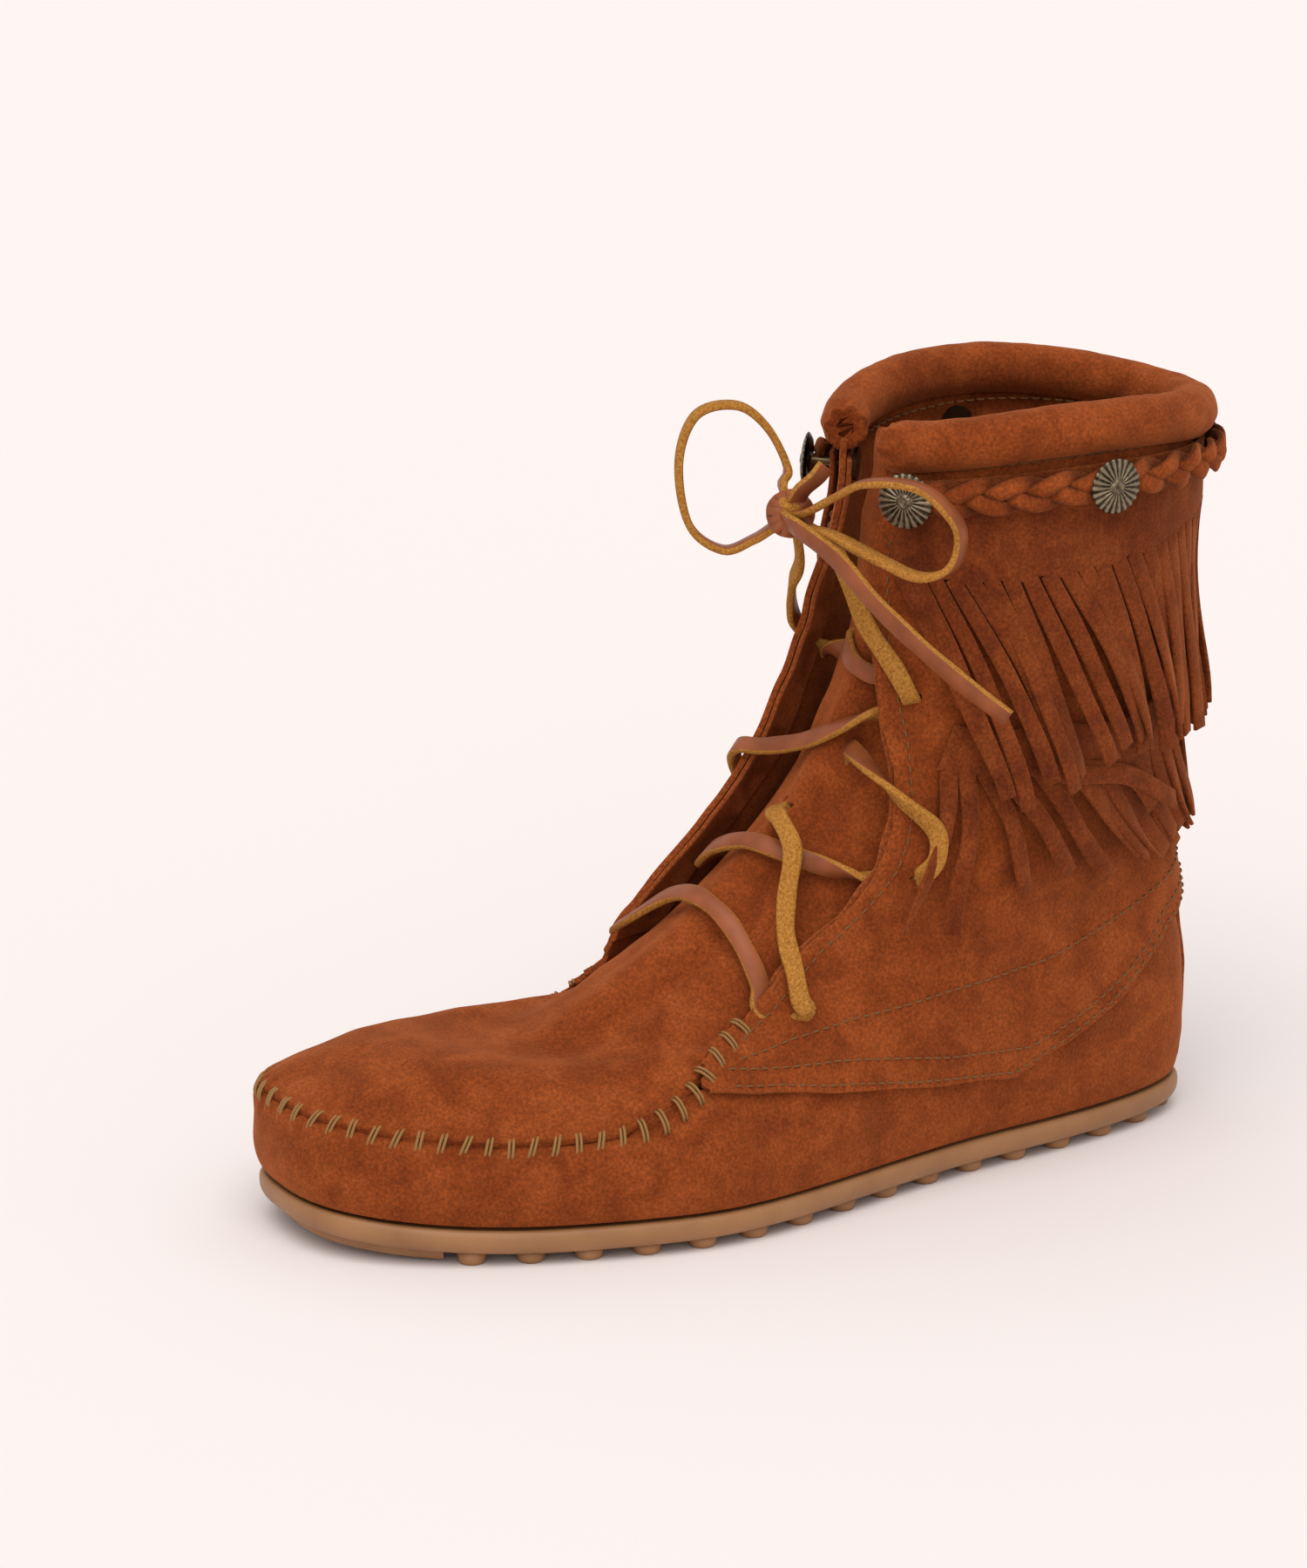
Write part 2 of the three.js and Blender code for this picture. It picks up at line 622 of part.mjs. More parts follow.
// ---------- lace ----------
// [angle, level, out] places on the skin, chosen by hand, in the order the lace runs.
const lateralRun = [
  [3, 9.2, 12], [8, 8.9, 7.5], [20, 8.4, 9], [33, 8.05, 8.5],
  [39.5, 7.86, 6.2], [40, 7.8, 1.5], [35, 7.72, -1.2],
  [26, 7.65, 0], [12, 7.5, -1.6], [-6, 7.35, -1], [-19, 7.2, 5],
  [-26, 7.1, 10.4], [-36, 6.95, 10.2], [-50, 6.75, 6.8],
  [-62, 6.55, 5], [-66, 6.45, 1.5], [-60, 6.4, -1], [-45, 6.4, 0],
  [-30, 6.45, 0.6], [-10, 6.62, 1], [8, 6.72, 1],
  [28, 6.7, 0.6], [48, 6.6, 0], [62, 6.48, -0.8], [70, 6.42, 0.6], [71, 6.46, 5.6], [70, 6.64, 6.6],
  [64, 6.88, 7.2], [50, 7.12, 7.6], [37, 7.3, 4], [27, 7.4, -1.4],
  [21, 7.42, -5], [16, 7.3, -8.6], [8, 7.12, -8.8],
  [4, 7, -5.6], [8, 6.92, 0.4], [18, 6.86, 4.8], [30, 6.7, 5.4],
  [39, 6.42, 1.8], [49, 6.1, 1.4], [60, 5.6, 6],
  [69, 5, 5.6], [74, 4.66, 4.6], [74.5, 4.52, 1], [69, 4.66, -1],
  [61, 5.08, 0.8], [55, 5.5, 1.8], [42, 5.98, 2], [26, 6.26, 2],
  [8, 6.36, 2], [-10, 6.3, 2], [-30, 5.95, 3], [-48, 5.45, 6],
  [-62, 4.95, 6], [-70, 4.66, 3.4], [-71, 4.6, 0],
];
const medialRun = [
  [-3, 9.14, 12], [-10, 8.8, 12], [-20, 8.5, 11.5], [-28, 8.25, 11.5],
  [-35, 8.05, 10], [-38, 7.95, 6], [-36, 7.9, 0],
  [-28, 7.95, -3], [-18, 8.05, -7.4], [-9, 8.14, -7.6], [-4, 8.12, -3.4],
  [5, 8.02, -1.4], [14, 7.96, -1.4], [23, 7.95, -2.8],
  [32, 8.08, -3],
];
const onRoute = (route) => route.map(([angle, level, out]) => offSkin(angle, level, out).toArray());

// Free pieces of the bow, as places in space.
const knotCentre = [1, 12, 178];
const longEnd = [[6.6, 8.5, 177.4], [13, 8.6, 177], [24, 13, 171], [36, 19, 160], [51, 29, 147], [63, 41, 135]];
const shortEnd = [[6, 13, 185.6], [7.5, 16, 188.5], [8, 18.5, 191.5]];
const leftBow = [
  [-5.4, 11, 184.2], [-7, 15.5, 188.5], [-9, 10.6, 199], [-12, 3.3, 205], [-15, -7, 203], [-16, -11.5, 190.7],
  [-15, -9, 174], [-12, -0.7, 167], [-9, 6.5, 169.5], [-5.8, 9.5, 173],
];
const rightBow = [
  [8, 13.5, 180], [16, 17, 185.3], [27, 20, 191], [38, 29, 191], [44, 35.7, 183.6], [44, 37.7, 176.6],
  [43, 35.2, 170.3], [40, 27.9, 168.3], [30, 22.4, 171], [18, 15, 175.6], [8.5, 11.5, 176],
];

const laceSteps = 58;
const laceTool = (route, steps) => tube(onRoute(route), laceRadius + gap + 0.05, steps);
const laceTools = [laceTool(lateralRun, laceSteps), laceTool(medialRun, 22)];

function knot() {
  const geometry = new THREE.SphereGeometry(knotRadius, 12, 8);
  geometry.scale(0.8, 1, 1);
  return geometry.translate(...knotCentre);
}

// ---------- assembly ----------
add('outsole', outsole(), gumRubber);
add('footbed', footbed(), lining);
add('vamp', vamp(), suede);
add('plug_tongue', cut(plugTongue(), laceTools), suede);
for (const [name, flap] of Object.entries(flaps)) {
  add(`${name}_quarter`, cut(quarter(flap), [...laceTools, ...bores]), suede);
  add(`${name}_lace_facing`, cut(facing(flap), [...laceTools, ...bores]), darkSuede);
}
add('back_stay', backStay(), darkSuede);
add('collar_cover', collarCover(), suede);
add('collar_foam', collarFoam(), foam);
for (const [name, tier] of Object.entries(tiers)) {
  const header = fringeHeader(tier);
  add(`${name}_fringe_header`, name === 'upper' ? cut(header, bores) : header, suede);
  for (const [zone, range] of Object.entries(zones)) {
    add(`${name}_fringe_${zone}`, fringePanel(tier, range), suede);
  }
}
for (const strand of [1, 2, 3]) {
  add(`braid_strand_${strand}`, cut(braidStrand(strand), bores), darkSuede);
}
for (const [name, angle] of Object.entries(conchoAngles)) {
  add(`concho_${name}`, onShaft(conchoProfile, angle, conchoBase), brass);
  add(`concho_rivet_${name}`, onShaft(rivetProfile, angle, rivetInside, 12), brass);
}
add('lace_lateral_run', tube(onRoute(lateralRun), laceRadius, laceSteps), laceLeather);
add('lace_medial_run', tube(onRoute(medialRun), laceRadius, 22), laceLeather);
add('bow_knot', knot(), laceLeather);
add('bow_loop_medial', tube(leftBow, laceRadius, 22), laceLeather);
add('bow_loop_lateral', tube(rightBow, laceRadius, 22), laceLeather);
add('lace_long_end', tube(longEnd, laceRadius, 12), laceLeather);
add('lace_short_end', tube(shortEnd, laceRadius, 4), laceLeather);

export default model;
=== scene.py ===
"""Looks of one fringed lace-up ankle moccasin, left foot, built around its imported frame.

Metres in Blender; sizes below are in millimetres and turned to metres once, when a mesh is made. The
toe points towards -Y, the heel towards +Y, the outer side is +X and the ground is at Z = 0. Every
leather piece lies on one shared skin, which is given by an angle round the foot and a level up it.
"""
import logging
import math
from functools import cached_property
from dataclasses import dataclass, field
from enum import Enum
from typing import Callable, Sequence

import bmesh
import bpy
import numpy as np
from mathutils import Matrix, Vector, kdtree, noise


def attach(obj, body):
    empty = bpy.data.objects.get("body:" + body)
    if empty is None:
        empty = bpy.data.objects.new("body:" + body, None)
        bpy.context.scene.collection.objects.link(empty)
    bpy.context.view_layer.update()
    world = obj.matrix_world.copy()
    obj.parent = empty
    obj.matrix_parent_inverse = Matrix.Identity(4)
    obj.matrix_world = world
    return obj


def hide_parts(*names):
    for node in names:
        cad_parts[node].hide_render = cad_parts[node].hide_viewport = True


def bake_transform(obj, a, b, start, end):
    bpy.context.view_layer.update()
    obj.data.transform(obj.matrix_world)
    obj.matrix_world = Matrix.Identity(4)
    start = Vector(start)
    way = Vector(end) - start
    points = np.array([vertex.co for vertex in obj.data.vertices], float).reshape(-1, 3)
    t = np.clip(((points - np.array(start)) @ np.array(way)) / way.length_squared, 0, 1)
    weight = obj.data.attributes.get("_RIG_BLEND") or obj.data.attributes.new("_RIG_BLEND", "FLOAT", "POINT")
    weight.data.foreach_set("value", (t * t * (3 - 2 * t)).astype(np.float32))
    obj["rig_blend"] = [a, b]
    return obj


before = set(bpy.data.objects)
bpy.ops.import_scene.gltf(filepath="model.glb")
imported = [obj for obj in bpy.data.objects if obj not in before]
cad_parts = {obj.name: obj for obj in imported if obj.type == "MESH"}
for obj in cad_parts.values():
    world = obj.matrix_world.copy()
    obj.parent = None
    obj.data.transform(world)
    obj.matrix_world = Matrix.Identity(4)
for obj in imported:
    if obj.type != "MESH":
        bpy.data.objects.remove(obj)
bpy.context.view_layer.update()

log = logging.getLogger("moccasin")
MM = 0.001
UP = np.array([0.0, 0.0, 1.0])
WELD = 2e-6  # metres: corners nearer than this are one
Array = np.ndarray
Knots = tuple[tuple[float, ...], ...]
Mesh = bmesh.types.BMesh
Material = bpy.types.Material
Object = bpy.types.Object
Tree = bpy.types.NodeTree
Socket = bpy.types.NodeSocket


# ---------------------------------------------------------------- small sums
def ease(t: Array) -> Array:
    """Smooth step from 0 to 1."""
    c = np.clip(t, 0.0, 1.0)
    return c * c * (3.0 - 2.0 * c)


def mix(a: Array, b: Array, t: Array) -> Array:
    """The value a share t of the way from a to b."""
    return a + (b - a) * t


def along(knots: Sequence[tuple[float, float]], at: Array) -> Array:
    """Straight lines between (at, value) knots."""
    return np.interp(at, [k[0] for k in knots], [k[1] for k in knots])


def unit(v: Array) -> Array:
    """Rows of v made one long."""
    return v / np.maximum(np.linalg.norm(v, axis=-1, keepdims=True), 1e-9)


def lumps(points: Array, scale: float, seed: float = 0.0) -> Array:
    """Smooth noise from -1 to 1 at points in mm, with hills about scale mm apart."""
    shift = Vector((seed, seed * 1.7, -seed))
    return np.array([noise.noise(Vector(p / scale) + shift) for p in points])


def distances(points: Array) -> Array:
    """Distance travelled along a line of points, at each of them."""
    return np.concatenate([[0], np.cumsum(np.linalg.norm(np.diff(points, axis=0), axis=1))])


def sample(rows: Array, run: Array, at: Array) -> Array:
    """Rows that lie at distances run along a line, read at other distances."""
    return np.stack([np.interp(at, run, column) for column in rows.T], axis=1)


def thread_through(knots: Knots, count: int) -> Array:
    """Rows drawn out from knots by straight lines, as many between each two."""
    rows = np.array(knots, float)
    return sample(rows, np.linspace(0, 1, len(rows)), np.linspace(0, 1, count))


def smooth_between(a: Array, b: Array, c: Array, d: Array, t: Array) -> Array:
    """The place a share t of the way from b to c on a Catmull-Rom curve past all four."""
    bend = (2 * a - 5 * b + 4 * c - d) * t**2 + (3 * b - a - 3 * c + d) * t**3
    return 0.5 * (2 * b + (c - a) * t + bend)


def spline(points: Sequence[Sequence[float]], count: int) -> Array:
    """Catmull-Rom curve through points, resampled to count rows of equal spacing.

    Args:
        points: Rows of any width; the first three columns are the place.
        count: How many rows to return.
    Returns:
        The sampled rows.
    """
    p = np.array(points, float)
    p = np.vstack([2 * p[0] - p[1], p, 2 * p[-1] - p[-2]])
    t = np.linspace(0, 1, 24, endpoint=False)[:, None]
    fine = [smooth_between(*p[k - 1 : k + 3], t) for k in range(1, len(p) - 2)]
    fine = np.vstack([*fine, p[-2:-1]])
    run = distances(fine[:, :3])
    return sample(fine, run, np.linspace(0, run[-1], count))


def run_length(points: Array) -> float:
    """Length of a line of points."""
    return float(distances(points)[-1])


def level_out(directions: Array) -> Array:
    """Directions laid level."""
    return unit(directions * (1, 1, 0))


def tangents(points: Array) -> Array:
    """Unit direction of travel at each of a line's points."""
    return unit(np.gradient(points, axis=0))


def paired(angle: Array, level: Array) -> tuple[Array, Array]:
    """Angles and levels as two rows of the same length."""
    angle, level = np.broadcast_arrays(np.asarray(angle, float), np.asarray(level, float))
    return angle.ravel(), level.ravel()


# ---------------------------------------------------------------- the shared skin
@dataclass(frozen=True)
class Skin:
    """The outside of the foot part, as the leather pieces share it."""

    sole_length: float = 262.0
    ball_half_width: float = 48.5
    heel_half_width: float = 33.5
    toe_shift: float = -12.0
    toe_spring: float = 4.0
    spring_length: float = 56.0
    sole_top: float = 9.5
    gap: float = 0.3
    shaft_height: float = 192.0
    shaft_half_width: float = 35.0
    collar_arch: float = 6.0
    ankle_height: float = 80.0
    first_level: float = -1.0
    last_level: float = 10.0

    @cached_property
    def rows(self) -> Array:
        """Level rows: front setback and height, side height, back setback and height, half widths at the
        ball and the heel, and how square the outline is across and along."""
        base = self.sole_top + self.gap

        def rise(share: float) -> float:
            """Height a share of the way up the shaft."""
            return self.ankle_height + share * (self.shaft_height - self.ankle_height)

        ball, heel, shaft = self.ball_half_width, self.heel_half_width, self.shaft_half_width
        foot = [
            (12, base, base, 12, base, -9.5, -8.5, 0.72, 0.86),
            (1.5, base + 0.2, base + 0.2, 1.5, base + 0.2, 0, 0, 0.72, 0.86),
            (-1.5, 24, 20, -0.5, 24, 2.5, 2.5, 0.72, 0.86), (1.5, 39, 30, 0, 42, -0.5, 3.5, 0.74, 0.86),
            (18, 47.5, 40, 2, 60, -6.5, 3.5, 0.8, 0.88), (41, 51, 51, 4.5, 77, -11.5, 3, 0.86, 0.92),
        ]
        leg = [
            (69, 51.5, 63, 6.5, 94, -2, 1, 0.9, 0.95),
            (99, 68, 81, 7, 112, -4, 0.5, 0.95, 0.97),
            (138, rise(0.205), rise(0.23), 7, rise(0.48), -4, 0.5, 1, 1),
            (158, rise(0.52), rise(0.52), 5.5, rise(0.7), -3, 0.5, 1, 1),
            (163, rise(0.78), rise(0.79), 3, rise(0.86), -3, 0, 1, 1),
            (165, rise(1), rise(1) + self.collar_arch, 2, rise(1), -3, 0, 1, 1),
        ]
        wide = [(*r[:5], ball + r[5], heel + r[6], *r[7:]) for r in foot]
        wide += [(*r[:5], shaft + r[5], shaft + r[6], *r[7:]) for r in leg]
        return np.array(wide, float)

    def ring(self, row: Array, angle: Array) -> Array:
        """Points on whole level rows.

        Args:
            row: Row number for each point.
            angle: Degrees round, 0 at the toe, 90 on the outer side, 180 at the heel.
        Returns:
            Places in mm.
        """
        r = self.rows[row]
        cos, sin = np.cos(np.radians(angle)), np.sin(np.radians(angle))
        half = self.sole_length / 2
        front, back = r[:, 0] - half, half - r[:, 3]
        y = (front + back) / 2 - (back - front) / 2 * np.sign(cos) * np.abs(cos) ** r[:, 8]
        toeward = (half - y) / self.sole_length
        wide = mix(r[:, 6], r[:, 5], ease((toeward - 0.25) / 0.42))
        lean = self.toe_shift * np.clip((toeward - 0.6) / 0.4, 0, 1) ** 1.5
        swell = 2 * np.exp(-(((toeward - 0.6) / 0.18) ** 2))
        x = lean + swell + wide * np.sign(sin) * np.abs(sin) ** r[:, 7]
        z = r[:, 2] + (r[:, 1] - r[:, 4]) / 2 * cos + ((r[:, 1] + r[:, 4]) / 2 - r[:, 2]) * cos * cos
        z += np.where(r[:, 1] < self.sole_top + 2, self.spring(y), 0)
        return np.stack([x, y, z], axis=1)

    def spring(self, y: Array) -> Array:
        """How far the toe lifts off the ground at y."""
        reach = (self.spring_length - self.sole_length / 2 - y) / self.spring_length
        return self.toe_spring * np.clip(reach, 0, 1) ** 2

    def point(self, angle: Array, level: Array) -> Array:
        """Places on the skin in mm."""
        angle, level = paired(angle, level)
        top = len(self.rows) - 1
        at = np.clip(level - self.first_level, 0, top - 1e-6)
        row = np.floor(at).astype(int)
        f = (at - row)[:, None]
        p0, p1, p2, p3 = (self.ring(np.clip(row + k, 0, top), angle) for k in (-1, 0, 1, 2))
        return np.where((row == 0)[:, None], mix(p1, p2, f), smooth_between(p0, p1, p2, p3, f))

    def normal(self, angle: Array, level: Array) -> Array:
        """Unit directions out of the skin."""
        angle, level = paired(angle, level)
        around = self.point(angle + 0.5, level) - self.point(angle - 0.5, level)
        high = np.minimum(level + 0.02, self.last_level)
        climb = self.point(angle, high) - self.point(angle, np.maximum(level - 0.02, self.first_level))
        return unit(np.cross(around, climb))

    def off(self, angle: Array, level: Array, out: Array) -> Array:
        """Places a distance out from the skin."""
        return self.point(angle, level) + self.normal(angle, level) * np.reshape(out, (-1, 1))

    def worn(self, angle: Array, level: Array, out: Array) -> Array:
        """Places out from the skin as soft leather hangs, with its slow dents and slouch."""
        angle, level = paired(angle, level)
        base = self.point(angle, level)
        soft = ease((level - 0.3) / 1.2) * ease((10.3 - level) / 1.0)
        side = np.abs((angle + 180) % 360 - 180)
        slouch = 1.5 * np.sin((base[:, 2] + 0.22 * base[:, 1]) / 4.6 + 0.6 * np.sin(side / 25))
        bend = ease((side - 70) / 40) * np.exp(-(((base[:, 2] - 84) / 17) ** 2))
        dents = 1.1 * lumps(base, 24, 3.1) + 0.45 * lumps(base, 9, 8.7)
        sway = soft * (dents + 0.35 * bend * slouch)
        return base + self.normal(angle, level) * (np.reshape(out, -1) + sway)[:, None]


SKIN = Skin()


# ---------------------------------------------------------------- materials
def linear(code: str) -> tuple[float, float, float, float]:
    """Turns an sRGB hex colour to the linear values that a shader takes."""
    values = [int(code[k : k + 2], 16) / 255 for k in (0, 2, 4)]
    turned = [v / 12.92 if v <= 0.04045 else ((v + 0.055) / 1.055) ** 2.4 for v in values]
    return (*turned, 1.0)


def node(tree: Tree, kind: str, inputs: dict | None = None, **settings: object) -> bpy.types.Node:
    """Adds a node with its settings, and its inputs as values or as links from other sockets.

    Args:
        tree: The material's nodes.
        kind: Blender's name for the node type.
        inputs: Input name or number to a value or an output socket.
        **settings: Attributes of the node.
    Returns:
        The new node.
    """
    made = tree.nodes.new(kind)
    for name, value in settings.items():
        setattr(made, name, value)
    for name, value in (inputs or {}).items():
        socket = made.inputs[name]
        if isinstance(value, Socket):
            tree.links.new(value, socket)
        else:
            socket.default_value = value
    return made


def grains(tree: Tree, place: Socket, size: float, detail: float, **more: float) -> Socket:
    """Noise whose grains are about size mm apart."""
    inputs = {"Vector": place, "Scale": 1 / (size * MM), "Detail": detail, **more}
    return node(tree, "ShaderNodeTexNoise", inputs).outputs[0]


def between(tree: Tree, value: Socket, low: float, high: float) -> Socket:
    """Turns a value from 0 to 1 to one from low to high."""
    return node(tree, "ShaderNodeMapRange", {0: value, 3: low, 4: high}).outputs[0]


def bump(tree: Tree, height: Socket, strength: float | Socket, depth: float, **more: Socket) -> Socket:
    """Raises a surface by up to depth mm, over another bump where its Normal is given."""
    inputs = {"Height": height, "Strength": strength, "Distance": depth * MM, **more}
    return node(tree, "ShaderNodeBump", inputs).outputs[0]


def mark(tree: Tree, name: str) -> Socket:
    """Reads a number that a piece's mesh keeps at each vertex."""
    return node(tree, "ShaderNodeAttribute", attribute_name=name).outputs["Fac"]


def ramp(tree: Tree, value: Socket, stops: Sequence[tuple[float, str]]) -> Socket:
    """Colours a value by stops of (position, hex colour)."""
    made = node(tree, "ShaderNodeValToRGB", {0: value})
    elements = made.color_ramp.elements
    while len(elements) < len(stops):
        elements.new(0.5)
    for element, (place, code) in zip(elements, stops):
        element.position = place
        element.color = linear(code)
    return made.outputs[0]


def start_material(name: str) -> tuple[Material, Tree, bpy.types.Node]:
    """A new material with its node tree and its shader."""
    made = bpy.data.materials.new(name)
    made.use_nodes = True
    return made, made.node_tree, made.node_tree.nodes["Principled BSDF"]


def mixed(tree: Tree, blend: str, share: object, one: object, two: object) -> Socket:
    """Mixes two colours."""
    inputs = {0: share, 6: one, 7: two}
    return node(tree, "ShaderNodeMix", inputs, data_type="RGBA", blend_type=blend).outputs[2]


@dataclass(frozen=True)
class Suede:
    """Split cowhide, buffed to a nap: matt, with a pale bloom at grazing angles, brushed blotches and
    a speckle of fibre ends, and a rougher, lighter nap where an edge is cut raw."""

    name: str
    shade: str = "8c3f17"
    body: str = "9a481b"
    bloom: str = "a85222"
    sheen_tint: str = "d9824a"
    # colour multiplied in as painted shade where a piece's crease mark is set
    crease: str = "7c7c7c"
    fibre_mm: float = 0.85  # the real fibre is 0.1 mm; drawn coarser so that it shows
    brush_mm: float = 11.0
    nap_mm: float = 0.5
    relief: float = 0.5

    def make(self) -> Material:
        """Builds the material."""
        made, tree, shader = start_material(self.name)
        place = node(tree, "ShaderNodeTexCoord").outputs["Object"]
        fibre = grains(tree, place, self.fibre_mm, 4.0, Roughness=0.65)
        brush = grains(tree, place, self.brush_mm, 3.0, Distortion=0.6)
        colour = ramp(tree, brush, [(0.36, self.shade), (0.5, self.body), (0.66, self.bloom)])
        speck = ramp(tree, fibre, [(0.33, "a2a2a2"), (0.5, "cccccc"), (0.66, "f4f4f4")])
        colour = mixed(tree, "MULTIPLY", 0.85, colour, speck)
        # painted shade: darker where the crease mark is set, on the braid's underside and where one thong
        # dips under another
        painted_shade_colour = mixed(tree, "MULTIPLY", 1.0, colour, linear(self.crease))
        colour = mixed(tree, "MIX", mark(tree, "crease"), colour, painted_shade_colour)
        cut = mixed(tree, "MULTIPLY", 1.0, linear(self.bloom), speck)
        colour = mixed(tree, "MIX", mark(tree, "raw_edge"), colour, cut)
        tree.links.new(colour, shader.inputs["Base Color"])
        shader.inputs["Roughness"].default_value = 0.95
        shader.inputs["Specular IOR Level"].default_value = 0.15
        shader.inputs["Sheen Weight"].default_value = 0.5
        shader.inputs["Sheen Roughness"].default_value = 0.45
        shader.inputs["Sheen Tint"].default_value = linear(self.sheen_tint)
        nap = bump(tree, grains(tree, place, self.nap_mm, 2.0), self.relief, 0.3)
        tree.links.new(bump(tree, fibre, self.relief, 0.5, Normal=nap), shader.inputs["Normal"])
        return made


@dataclass(frozen=True)
class LaceLeather:
    """Oil-tanned cowhide thong, cut square: a smooth waxy brown grain on one face, and an ochre flesh
    side and cut edges that are fibrous and matt."""

    name: str = "oil_tanned_thong"
    grain: str = "94512f"
    grain_dark: str = "7d4325"
    flesh: str = "a8702a"
    flesh_dark: str = "85561f"
    flesh_light: str = "bb8640"

    def make(self) -> Material:
        """Builds the material; the piece's grain attribute is 1 on the smooth face."""
        made, tree, shader = start_material(self.name)
        place = node(tree, "ShaderNodeTexCoord").outputs["Object"]
        fuzz = grains(tree, place, 0.7, 4.0, Roughness=0.7)
        slow = grains(tree, place, 9, 2.0)
        rough = ramp(tree, fuzz, [(0.34, self.flesh_dark), (0.5, self.flesh), (0.66, self.flesh_light)])
        smooth = ramp(tree, slow, [(0.35, self.grain_dark), (0.65, self.grain)])
        edge = {0: mark(tree, "grain"), 1: 0.45, 2: 0.6}
        side = node(tree, "ShaderNodeMapRange", edge, clamp=True).outputs[0]
        tree.links.new(mixed(tree, "MIX", side, rough, smooth), shader.inputs["Base Color"])
        tree.links.new(between(tree, side, 0.9, 0.42), shader.inputs["Roughness"])
        shader.inputs["Specular IOR Level"].default_value = 0.22
        fibrous = bump(tree, fuzz, between(tree, side, 0.7, 0.04), 0.4)
        tree.links.new(fibrous, shader.inputs["Normal"])
        return made


@dataclass(frozen=True)
class GumRubber:
    """Natural gum rubber, compression moulded: caramel, slightly cloudy, with a soft satin gloss."""

    name: str = "moulded_gum_rubber"
    body: str = "9c6d42"
    cloud: str = "8c5f37"

    def make(self) -> Material:
        """Builds the material."""
        made, tree, shader = start_material(self.name)
        place = node(tree, "ShaderNodeTexCoord").outputs["Object"]
        colour = ramp(tree, grains(tree, place, 18, 3.0), [(0.35, self.cloud), (0.65, self.body)])
        tree.links.new(colour, shader.inputs["Base Color"])
        skin = grains(tree, place, 0.8, 3.0)
        tree.links.new(between(tree, skin, 0.42, 0.62), shader.inputs["Roughness"])
        shader.inputs["IOR"].default_value = 1.52
        shader.inputs["Subsurface Weight"].default_value = 0.08
        shader.inputs["Subsurface Radius"].default_value = (0.004, 0.002, 0.001)
        tree.links.new(bump(tree, skin, 0.12, 0.2), shader.inputs["Normal"])
        return made


@dataclass(frozen=True)
class AntiqueBrass:
    """Die-struck brass, blackened and relieved: pale worn crests over dark patina in the flutes."""

    name: str = "antiqued_brass"
    crest: str = "8a7c64"
    flank: str = "4e4436"
    patina: str = "1c1812"

    def make(self) -> Material:
        """Builds the material; the piece's crest attribute is 1 on the worn high places."""
        made, tree, shader = start_material(self.name)
        place = node(tree, "ShaderNodeTexCoord").outputs["Object"]
        spots = grains(tree, place, 1.2, 3.0)
        worn = node(tree, "ShaderNodeMath", {0: mark(tree, "crest"), 1: spots}, operation="ADD").outputs[0]
        height = node(tree, "ShaderNodeMapRange", {0: worn, 1: 0.5, 2: 1.4}).outputs[0]
        colour = ramp(tree, height, [(0.1, self.patina), (0.5, self.flank), (0.95, self.crest)])
        tree.links.new(colour, shader.inputs["Base Color"])
        shader.inputs["Metallic"].default_value = 1.0
        tree.links.new(between(tree, spots, 0.3, 0.5), shader.inputs["Roughness"])
        return made


@dataclass(frozen=True)
class Thread:
    """Bonded nylon sewing thread, lightly waxed: tan plies with a dull shine."""

    name: str
    light: str = "a5783c"
    dark: str = "6e4a1e"

    def make(self) -> Material:
        """Builds the material; its plies run slantwise round each stitch by the piece's own UV map."""
        made, tree, shader = start_material(self.name)
        uv = node(tree, "ShaderNodeTexCoord").outputs["UV"]
        turned = node(tree, "ShaderNodeMapping", {0: uv, 2: (0, 0, 0.5), 3: (7, 2, 1)})
        wave = {"Vector": turned.outputs[0], "Scale": 1.0, "Distortion": 0.6}
        plies = node(tree, "ShaderNodeTexWave", wave, wave_type="BANDS", bands_direction="X").outputs[0]
        colour = ramp(tree, plies, [(0.15, self.dark), (0.7, self.light)])
        tree.links.new(colour, shader.inputs["Base Color"])
        shader.inputs["Roughness"].default_value = 0.6
        tree.links.new(bump(tree, plies, 0.5, 0.15), shader.inputs["Normal"])
        return made


@dataclass(frozen=True)
class Lining:
    """Brushed pigskin sock lining, glued flat: matt, warm tan, with fine pores."""

    name: str = "brushed_pigskin_lining"
    body: str = "94522a"
    dark: str = "77401f"

    def make(self) -> Material:
        """Builds the material."""
        made, tree, shader = start_material(self.name)
        place = node(tree, "ShaderNodeTexCoord").outputs["Object"]
        pores = node(tree, "ShaderNodeTexVoronoi", {"Vector": place, "Scale": 1 / (1.6 * MM)})
        colour = ramp(tree, pores.outputs[0], [(0.05, self.dark), (0.3, self.body)])
        tree.links.new(colour, shader.inputs["Base Color"])
        shader.inputs["Roughness"].default_value = 0.85
        return made


# ---------------------------------------------------------------- mesh making
Place = Callable[[Array, Array], Array]
Spot = Callable[[Array, Array], tuple[Array, Array]]


def new_mesh(uv: str = "cut") -> Mesh:
    """An empty mesh with a UV map of its own."""
    bm = bmesh.new()
    bm.loops.layers.uv.new(uv)
    return bm


def close_up(bm: Mesh) -> None:
    """Fills every open end and turns all faces outwards."""
    bmesh.ops.holes_fill(bm, edges=[e for e in bm.edges if e.is_boundary], sides=0)
    bmesh.ops.recalc_face_normals(bm, faces=bm.faces)


def round_edges(bm: Mesh, edges: Sequence[bmesh.types.BMEdge], size: float) -> None:
    """Rounds some edges by size mm."""
    bmesh.ops.bevel(bm, geom=edges, offset=size * MM, affect="EDGES", segments=2, profile=0.5, material=-1)


